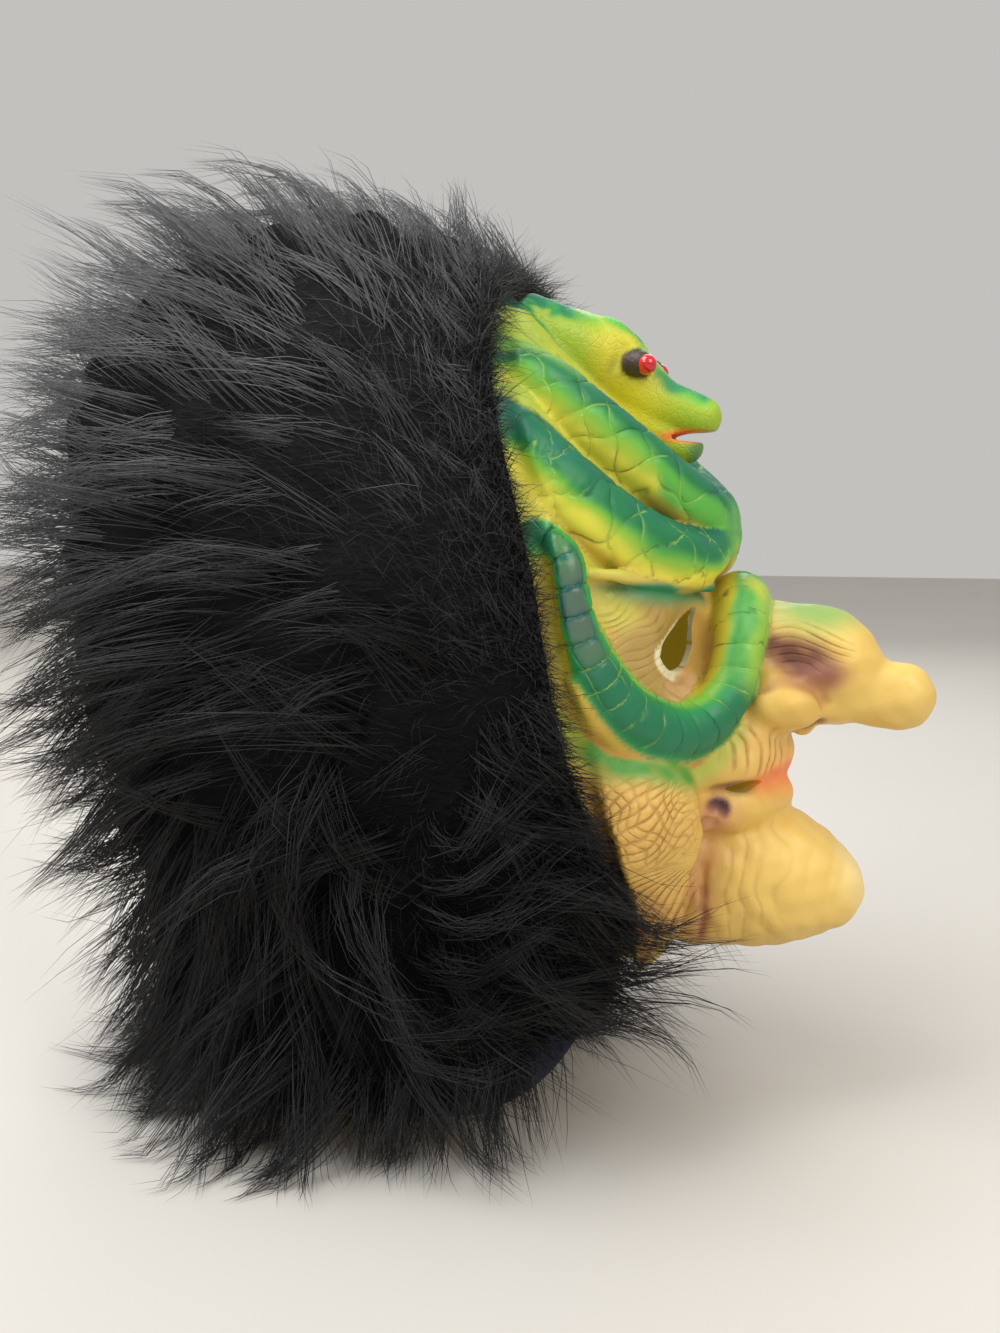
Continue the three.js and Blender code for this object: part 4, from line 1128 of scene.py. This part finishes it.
gv, gf = hood_grid(lambda P: np.full(len(P), EASE + CLOTH))
iv, iq = hood_grid(lambda P: np.full(len(P), EASE))
backing = cut(mesh_object('hood_backing', gv, gf), mesh_object('hood_in', iv, iq))
backing = cut(backing, front_prism('hood_front', 3.0))
bm_ = Mat('navy_knit')
wave = bm_.n('ShaderNodeTexWave', wave_type='BANDS', bands_direction='Z', wave_profile='SIN')
bm_.put(wave.inputs['Vector'], bm_.obj())
wave.inputs['Scale'].default_value = 230.0
wave.inputs['Distortion'].default_value = 3.0
wave.inputs['Detail'].default_value = 1.0
wave.inputs['Detail Scale'].default_value = 3.0
knit = bm_.noise(700.0, 2.0)
bm_.set(Base_Color=bm_.mix(knit, rgba(16, 18, 38), rgba(30, 34, 64)), Roughness=0.85,
        Normal=bm_.bump(bm_.math('ADD', wave.outputs['Fac'], knit), 0.5, 0.0006))
backing.data.materials.clear()
backing.data.materials.append(bm_.m)
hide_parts("hood_cloth")
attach(backing, "root")

# ---------------------------------------------------------------- pile
# Which way the pile runs, seen from the side: degrees, 0 forward and 90 up.
FLOW = table('fore up turn',
             (45, 14, 97), (7, 10, 116), (-36, 6, 125), (-81, 15, 132), (-112, 3, 145), (-146, -20, 165),
             (47, -29, 116), (40, -56, 134), (-10, -33, 141), (-60, -39, 150), (-8, -71, 157), (61, -77, 124),
             (-148, -65, 168), (-1, -85, 165), (-52, -85, 176), (-33, -106, 192), (-43, -125, 203), (-76, -154, 212),
             (11, -135, 178), (-17, -142, 196), (-11, -156, 200), (-28, -175, 214), (-49, -191, 230), (-154, -182, 205),
             (-160, -134, 186), (48, -139, 140), (36, -169, 190), (66, -93, 120), (-94, -201, 198), (-95, -221, 190),
             (-87, -246, 200), (-100, -272, 210), (-91, -299, 220), (-50, -290, 250), (-22, -290, 264), (8, -290, 262),
             (54, -289, 300), (68, -285, 305), (101, -210, 320), (120, -218, 346), (113, -237, 357), (95, -241, 12),
             (76, -205, 350), (75, -247, 10), (34, -227, 280), (-21, -205, 272), (-50, -236, 258), (75, -165, 330))
FL = np.array([(r['fore'], r['up'], math.radians(r['turn'])) for r in FLOW])


def flow(P):
    """Unit (0, fore, up) directions."""
    d2 = ((P[:, None, 1:] - FL[None, :, :2]) ** 2).sum(2)
    w = 1.0 / (d2 + 60.0) ** 1.5
    a = np.column_stack([np.zeros(len(P)), w @ np.cos(FL[:, 2]), w @ np.sin(FL[:, 2])])
    return unit(a)


def behind_edge(P):
    return hood_edge(P[:, 2]) - P[:, 1]


def pile_height(P):
    """How far the pile stands off the backing, mm."""
    q = behind_edge(P)
    h = 5 + 19 * sstep(0, 55, q)
    h = h + 9 * sstep(20, -80, P[:, 1]) * sstep(-5, -60, P[:, 2]) + 11 * sstep(-45, -8, P[:, 2]) * sstep(-60, 10, P[:, 1])
    return h


rng = np.random.default_rng(SEED)
tri = gv[gf]
ar = np.linalg.norm(np.cross(tri[:, 1] - tri[:, 0], tri[:, 2] - tri[:, 0]), axis=1)


def roots(count):
    out = []
    have = 0
    while have < count:
        m = count * 2
        i = rng.choice(len(gf), m, p=ar / ar.sum())
        a, b = rng.random(m), rng.random(m)
        k = a + b > 1
        a[k], b[k] = 1 - a[k], 1 - b[k]
        P = tri[i, 0] + (tri[i, 1] - tri[i, 0]) * a[:, None] + (tri[i, 2] - tri[i, 0]) * b[:, None]
        q = behind_edge(P)
        ok = (q > 0.4) & (P[:, 2] > HEM + 3) & (P[:, 2] < 3.2)
        bare_hem = (P[:, 2] < -262) & (q < 16) & (P[:, 1] > 20)
        ok &= ~bare_hem
        out.append(P[ok])
        have += ok.sum()
    return np.concatenate(out)[:count]


def roots_in(count, region):
    """Roots where region(points) is true."""
    mid = tri.mean(1)
    pick = np.nonzero(region(mid, 9.0))[0]
    out, have = [], 0
    while have < count:
        i = rng.choice(pick, count * 2, p=ar[pick] / ar[pick].sum())
        a, b = rng.random(count * 2), rng.random(count * 2)
        k = a + b > 1
        a[k], b[k] = 1 - a[k], 1 - b[k]
        P = tri[i, 0] + (tri[i, 1] - tri[i, 0]) * a[:, None] + (tri[i, 2] - tri[i, 0]) * b[:, None]
        q = behind_edge(P)
        ok = region(P, 0.0) & (q > 0.4) & (P[:, 2] > HEM + 1.5) & (P[:, 2] < 3.2)
        ok &= ~((P[:, 2] < -262) & (q < 16) & (P[:, 1] > 20))
        out.append(P[ok])
        have += ok.sum()
    return np.concatenate(out)[:count]


STEPS = 9


def grow(R, length, turn_noise, lift, spread):
    """Curves from roots R, following the flow; (n, STEPS + 1, 3)."""
    n = len(R)
    C = np.empty((n, STEPS + 1, 3))
    C[:, 0] = R
    ta = rng.normal(0, 1, n) * turn_noise
    side = rng.normal(0, 1, n) * spread
    P = R.copy()
    last = None
    step = length / STEPS
    hmax = pile_height(R) * rng.uniform(0.8, 1.25, n)
    for j in range(STEPS):
        t = j / (STEPS - 1)
        f = flow(P)
        c, s_ = np.cos(ta), np.sin(ta)
        out = np.sign(R[:, 0]) * 0.75 * sstep(-225, -270, P[:, 2]) * sstep(-75, -20, P[:, 1]) * sstep(60, 25, P[:, 1])
        f = np.column_stack([side + out, f[:, 1] * c - f[:, 2] * s_, f[:, 1] * s_ + f[:, 2] * c])
        nn = head_normal(P)
        along = 0.35 + 0.5 * sstep(-120, -40, P[:, 2]) * sstep(-110, -70, P[:, 1])
        f = unit(f - nn * ((f * nn).sum(1) * along)[:, None])
        h = height_off_head(P) - EASE - CLOTH
        room = np.clip(1 - h / hmax, -1.2, 1)
        d = f * 1.0 + nn * (lift * room * (1 - 0.35 * t))[:, None]
        d[:, 2] -= 0.22 * t
        d = unit(d)
        if last is not None:
            d = unit(d * 0.62 + last * 0.38)
        # never back into the head
        low = np.minimum((d * nn).sum(1) - (0.05 - 0.25 * sstep(3, 10, h)), 0)
        d = unit(d - nn * low[:, None])
        last = d
        P = P + d * step[:, None]
        P[:, 2] = np.maximum(P[:, 2], FLOOR_Z * 1000 + 1.0)
        C[:, j + 1] = P
    return C


def held(P):
    """Draw far tips in, so that the pile keeps to its outer form."""
    P = P.copy()
    back = -P[..., 1]
    P[..., 1] = -np.where(back > 132, 132 + 23 * np.tanh((back - 132) / 23), back)
    low = 10 + 8 * sstep(-70, 20, P[..., 1])
    P[..., 2] = np.where(P[..., 2] > low, low + low * np.tanh((P[..., 2] - low) / low), P[..., 2])
    w = np.abs(P[..., 0])
    P[..., 0] = np.sign(P[..., 0]) * np.where(w > 112, 112 + 18 * np.tanh((w - 112) / 18), w)
    P[..., 2] = np.maximum(P[..., 2], FLOOR_Z * 1000 + 0.8)
    return P


def resample(C, upto, count):
    """Points at even parameters from 0 to `upto` of each curve."""
    t = np.linspace(0, 1, count)[None, :] * upto[:, None] * (C.shape[1] - 1)
    i = np.clip(t.astype(int), 0, C.shape[1] - 2)
    f = (t - i)[..., None]
    r = np.arange(len(C))[:, None]
    return C[r, i] * (1 - f) + C[r, i + 1] * f


def strands(name, C, radius, tone_and_top_sheen):
    """Closed three-sided tapering strands along curves C (n, k, 3); last point is the tip."""
    n, k, _ = C.shape
    T = np.empty_like(C)
    T[:, 1:-1] = C[:, 2:] - C[:, :-2]
    T[:, 0], T[:, -1] = C[:, 1] - C[:, 0], C[:, -1] - C[:, -2]
    T = unit(T)
    ref = unit(rng.normal(size=(n, 1, 3)))
    A = unit(ref - T * (T * ref).sum(2, keepdims=True))
    B = np.cross(T, A)
    rings = k - 1
    prof = np.interp(np.linspace(0, 1, rings), [0, 0.25, 0.8, 1], [0.8, 1.0, 0.75, 0.5])
    V = np.empty((n, rings * 3 + 1, 3), np.float32)
    for j in range(rings):
        for m in range(3):
            w = 2 * math.pi * m / 3
            V[:, j * 3 + m] = C[:, j] + (A[:, j] * math.cos(w) + B[:, j] * math.sin(w)) * (radius * prof[j])[:, None]
    V[:, -1] = C[:, -1]
    f = [(0, 1, 2)]
    for j in range(rings - 1):
        for m in range(3):
            a, b = j * 3 + m, j * 3 + (m + 1) % 3
            f += [(a, a + 3, b), (b, a + 3, b + 3)]
    for m in range(3):
        f.append(((rings - 1) * 3 + m, rings * 3, (rings - 1) * 3 + (m + 1) % 3))
    f = np.array(f)
    F = (f[None] + (np.arange(n) * (rings * 3 + 1))[:, None, None]).reshape(-1, 3)
    ob = mesh_object(name, V.reshape(-1, 3), F)
    add_float(ob, 'tone_and_top_sheen', np.repeat(tone_and_top_sheen, rings * 3 + 1))
    along = np.concatenate([np.repeat(np.linspace(0, 1, rings), 3), [1.0]])
    add_float(ob, 'along', np.tile(along, n))
    print(name, 'tris', len(F))
    return ob


def nearest(points, to):
    from mathutils.kdtree import KDTree
    kd = KDTree(len(to))
    for i, p in enumerate(to):
        kd.insert(p, i)
    kd.balance()
    return np.array([kd.find(p)[1] for p in points])


def length_at(P):
    q = behind_edge(P)
    L = 13 + 20 * sstep(0, 22, q) + 42 * sstep(14, 62, q)
    L = L * (1 - 0.22 * sstep(-40, 0, P[:, 2])) * (1 - 0.18 * sstep(0, -80, P[:, 1]))
    low = sstep(-180, -205, P[:, 2]) * sstep(-262, -245, P[:, 2]) * sstep(45, 75, P[:, 1])
    L = np.maximum(L, 62 * low)
    L = np.maximum(L, 40 * sstep(-30, -10, P[:, 2]) * sstep(3, 10, q))
    return L * (1 - 0.55 * sstep(-245, -268, P[:, 2]) * sstep(10, 40, P[:, 1]))


def open_patch(P):
    """Low on the side of the head the pile stands straight out and lies every way."""
    return np.exp(-(((P[:, 1] - 36) / 42) ** 2 + ((P[:, 2] + 205) / 52) ** 2))


def lift_at(P):
    return 0.42 + (0.2 + 0.75 * sstep(-50, 15, P[:, 1])) * sstep(-40, -8, P[:, 2]) + 0.75 * open_patch(P)


GUIDES = 1150
G = roots(GUIDES)
GC = grow(G, length_at(G) * rng.uniform(0.8, 1.2, GUIDES), 0.20 + 0.75 * open_patch(G), lift_at(G) * rng.uniform(0.7, 1.4, GUIDES), 0.16)
GTONE = rng.random(GUIDES)


def clumped(count, keep):
    R = roots(count)
    k = nearest(R, G)
    C = resample(GC[k], rng.uniform(0.62, 1.12, count).clip(0, 1) * keep, STEPS + 1)
    off = R - G[k]
    t = np.linspace(0, 1, STEPS + 1)
    hold = rng.uniform(0.45, 0.92, count)
    stray = rng.random(count) < 0.12
    hold[stray] = rng.uniform(-0.3, 0.25, stray.sum())
    w = 1 - hold[:, None] * sstep(0, 0.85, t)[None, :]
    C = C + off[:, None, :] * w[..., None]
    # frizz
    amp = rng.uniform(0.3, 1.3, count) * np.where(stray, 2.4, 1.0)
    ph = rng.uniform(0, 6.28, (count, 3))
    fr = rng.uniform(2.5, 6.0, (count, 1))
    C += amp[:, None, None] * (t[None, :, None] ** 1.3) * np.sin(t[None, :, None] * fr[:, None, :] + ph[:, None, :])
    bend = rng.normal(0, 1, (count, 3)) * np.where(stray, 7.0, 2.0)[:, None]
    C += bend[:, None, :] * (t ** 2)[None, :, None]
    # keep off the head and the floor
    flat = C.reshape(-1, 3)
    h = height_off_head(flat) - (EASE + CLOTH)
    push = np.maximum(0.35 - h, 0)
    push = np.where(behind_edge(flat) < -6, 0, np.minimum(push, 30))
    flat = flat + head_normal(flat) * push[:, None]
    flat = held(flat)
    # strands rooted higher on the hood get a lighter tone: painted top light
    painted_top_light = sstep(-150, -15, R[:, 2])
    tone_and_top_sheen = np.clip((0.42 * GTONE[k] + 0.30 * rng.random(count)) * (0.42 + 0.58 * painted_top_light) + 0.56 * painted_top_light - 0.10, 0, 1)
    return flat.reshape(C.shape), tone_and_top_sheen


fur_mat = Mat('black_pile')
tone_and_top_sheen = fur_mat.attr('tone_and_top_sheen').outputs['Fac']
along = fur_mat.attr('along').outputs['Fac']
# near black to grey by tone, which holds the random lock-to-lock tone and, on the long and short pile, a painted top
# sheen
base = fur_mat.mix(tone_and_top_sheen, (0.0036, 0.0030, 0.0031, 1), (0.148, 0.149, 0.154, 1))
# darker towards each strand's root: painted shade deep in the pile
base = fur_mat.mix(fur_mat.ramp(along, 0.0, 0.7, 0.75, 0.0), base, (0.003, 0.003, 0.0035, 1))
fur_mat.set(Base_Color=base, Roughness=0.42)
fur_mat.b.inputs['Specular IOR Level'].default_value = 0.26

THICK = 0.185
LONG = 18000
SHORT = 19000
FRINGE = 10000
C, tone_v = clumped(LONG, 1.0)
C = resample(C, np.ones(LONG), 5)
order = np.argsort(np.arctan2(C[:, 0, 0], -C[:, 0, 1]))
part = 8500
for i in range(0, LONG, part):
    sel = order[i:i + part]
    ob = strands('pile_long_%d' % (i // part + 1), C[sel], THICK * rng.uniform(0.75, 1.25, len(sel)), tone_v[sel])
    ob.data.materials.append(fur_mat.m)
    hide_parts("hood_fur")
    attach(ob, "root")
R = roots(SHORT * 6)
near_edge = np.exp(-behind_edge(R) / 34) + 0.10
R = R[rng.random(len(R)) < near_edge / near_edge.max()][:SHORT]
q = behind_edge(R)
C = grow(R, rng.uniform(8, 19, len(R)) * (0.75 + 0.6 * sstep(0, 25, q)), 0.75, np.full(len(R), 0.85), 0.45)
t = np.linspace(0, 1, STEPS + 1)
over_edge = np.column_stack([0 * q, 5.5 * np.exp(-q / 5), 1.0 * np.exp(-q / 5)]) * rng.uniform(0.2, 1.5, (len(R), 1))
C = C + over_edge[:, None, :] * t[None, :, None]
C = held(C + rng.normal(0, 1, (len(R), 1, 3)) * 2.2 * (t ** 2)[None, :, None])
C = resample(C, np.ones(len(R)), 3)
half = (len(R) + 1) // 2
for i in range(2):
    sel = slice(i * half, (i + 1) * half)
    # tone lighter for roots higher on the hood: painted top light
    ob = strands('pile_short_%d' % (i + 1), C[sel], np.full(len(C[sel]), 0.17),
                 (0.06 + rng.random(len(C[sel])) * 0.34) * (0.5 + 0.7 * sstep(-150, -15, C[sel][:, 0, 2])))
    ob.data.materials.append(fur_mat.m)
    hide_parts("hood_fur")
    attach(ob, "root")

# fringe that laps over the sewn edge on to the face
R = roots_in(FRINGE, lambda P, pad: (behind_edge(P) < 6 + pad) & (behind_edge(P) > -pad))
q = behind_edge(R)
n = head_normal(R)
fwd = np.column_stack([0.25 * n[:, 0], np.full(len(R), 0.75), 0.25 * sstep(-90, -20, R[:, 2]) - 0.35 * sstep(-150, -230, R[:, 2])])
d0 = unit(fwd * rng.uniform(-0.4, 1.25, (len(R), 1)) + n * rng.uniform(0.45, 1.1, (len(R), 1)) + rng.normal(0, 0.42, (len(R), 3)))
lies = (rng.random(len(R)) < 0.58)[:, None]
d0 = np.where(lies, unit(fwd * np.array([1, 1, 0.4]) + n * rng.uniform(-0.55, 0.25, (len(R), 1)) + rng.normal(0, 0.38, (len(R), 3))), d0)
L = np.where(rng.random(len(R)) < 0.6, rng.uniform(3, 7, len(R)), rng.uniform(6, 13, len(R))) * (1 + 0.7 * sstep(-60, -15, R[:, 2]))
jaw_lock = (rng.random(len(R)) < 0.22) & (R[:, 2] < -196) & (R[:, 2] > -258)
L = np.where(jaw_lock, rng.uniform(18, 40, len(R)), L)
d0 = np.where(jaw_lock[:, None], unit(np.column_stack([0.3 * np.sign(R[:, 0]), np.full(len(R), 1.0), -0.35 + 0.008 * (-R[:, 2] - 215)])
              + n * 0.25 + rng.normal(0, 0.14, (len(R), 3))), d0)
t = np.linspace(0, 1, 3)
C = R[:, None, :] + d0[:, None, :] * (L[:, None] * t)[..., None]
C[:, :, 2] -= (L[:, None] * 0.16 * t ** 2)
C = held(C + rng.normal(0, 1, (len(R), 1, 3)) * (0.10 * L[:, None, None]) * (t ** 2)[None, :, None])
ob = strands('pile_fringe', C, np.full(len(R), 0.16), 0.04 + rng.random(len(R)) * 0.32)
ob.data.materials.append(fur_mat.m)
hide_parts("hood_fur")
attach(ob, "root")

# locks that fall over the hem
HEMS = 3600
R = roots_in(HEMS, lambda P, pad: (P[:, 2] < HEM + 24 + pad))
lock = roots_in(150, lambda P, pad: (P[:, 2] < HEM + 24 + pad))
k = nearest(R, lock)
n = head_normal(lock)
n[:, 2] = 0
way = unit(unit(n) * rng.uniform(0.35, 1.0, (150, 1)) + np.array([0, -0.12, -0.62]) + rng.normal(0, 0.20, (150, 3)))
L = (rng.uniform(16, 46, 150)[k] * rng.uniform(0.6, 1.1, len(R)))
t = np.linspace(0, 1, 4)
C = R[:, None, :] + (way[k] + rng.normal(0, 0.10, (len(R), 3)))[:, None, :] * (L[:, None] * t)[..., None]
C = C - ((R - lock[k]) * rng.uniform(0.3, 0.9, (len(R), 1)))[:, None, :] * (t ** 1.5)[None, :, None]
C[:, :, 2] -= L[:, None] * 0.22 * t ** 2
C[:, :, 2] = np.maximum(C[:, :, 2], FLOOR_Z * 1000 + 0.8 + rng.uniform(0, 5, (len(R), 1)) * t)
C = held(C)
ob = strands('pile_hem', C, np.full(len(R), THICK), np.clip(0.04 + 0.30 * rng.random(len(R)), 0, 1))
ob.data.materials.append(fur_mat.m)
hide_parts("hood_fur")
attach(ob, "root")

# dark undercoat below the strands: the black pile's own colour, darkened as painted shade deep in the pile
def bare_hem(P):
    """The strip of backing that shows at the lower front edge."""
    return sstep(-254, -262, P[:, 2]) * sstep(22, 15, behind_edge(P)) * sstep(12, 26, P[:, 1])


uv, uf = hood_grid(lambda P: EASE + CLOTH + 0.25 - 0.9 * bare_hem(P) + (1 - bare_hem(P)) * 0.30 * pile_height(P) * (0.8 + 0.35 * waves(P.astype(np.float32), 22, 31))
                   * (0.5 * sstep(-0.5, 5, behind_edge(P)) + 0.5 * sstep(4, 26, behind_edge(P))) * sstep(HEM - 2, HEM + 22, P[:, 2]))
cv_, cf_ = hood_grid(lambda P: np.full(len(P), EASE + CLOTH + 0.1))
under = cut(mesh_object('pile_undercoat', uv, uf), mesh_object('hood_core', cv_, cf_))
under = cut(under, front_prism('under_front', 0.6))
um = Mat('pile_shadow')
st = um.n('ShaderNodeMapping')
um.put(st.inputs['Vector'], um.obj())
st.inputs['Scale'].default_value = (1.0, 0.35, 1.0)
grain = um.noise(620.0, 3.0, vec=st.outputs['Vector'])
zz = um.n('ShaderNodeSeparateXYZ')
um.put(zz.inputs['Vector'], um.obj())
# lighter towards the top of the hood: painted top light
painted_top_light = um.ramp(zz.outputs['Z'], -0.20, -0.04)
dark = um.mix(painted_top_light, (0.0016, 0.0015, 0.0016, 1), (0.005, 0.005, 0.0054, 1))
light = um.mix(painted_top_light, (0.007, 0.0066, 0.0068, 1), (0.017, 0.0172, 0.0184, 1))
um.set(Base_Color=um.mix(grain, dark, light), Roughness=0.9,
       Normal=um.bump(grain, 0.8, 0.002))
um.b.inputs['Specular IOR Level'].default_value = 0.05
under.data.materials.clear()
under.data.materials.append(um.m)
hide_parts("hood_fur")
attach(under, "root")
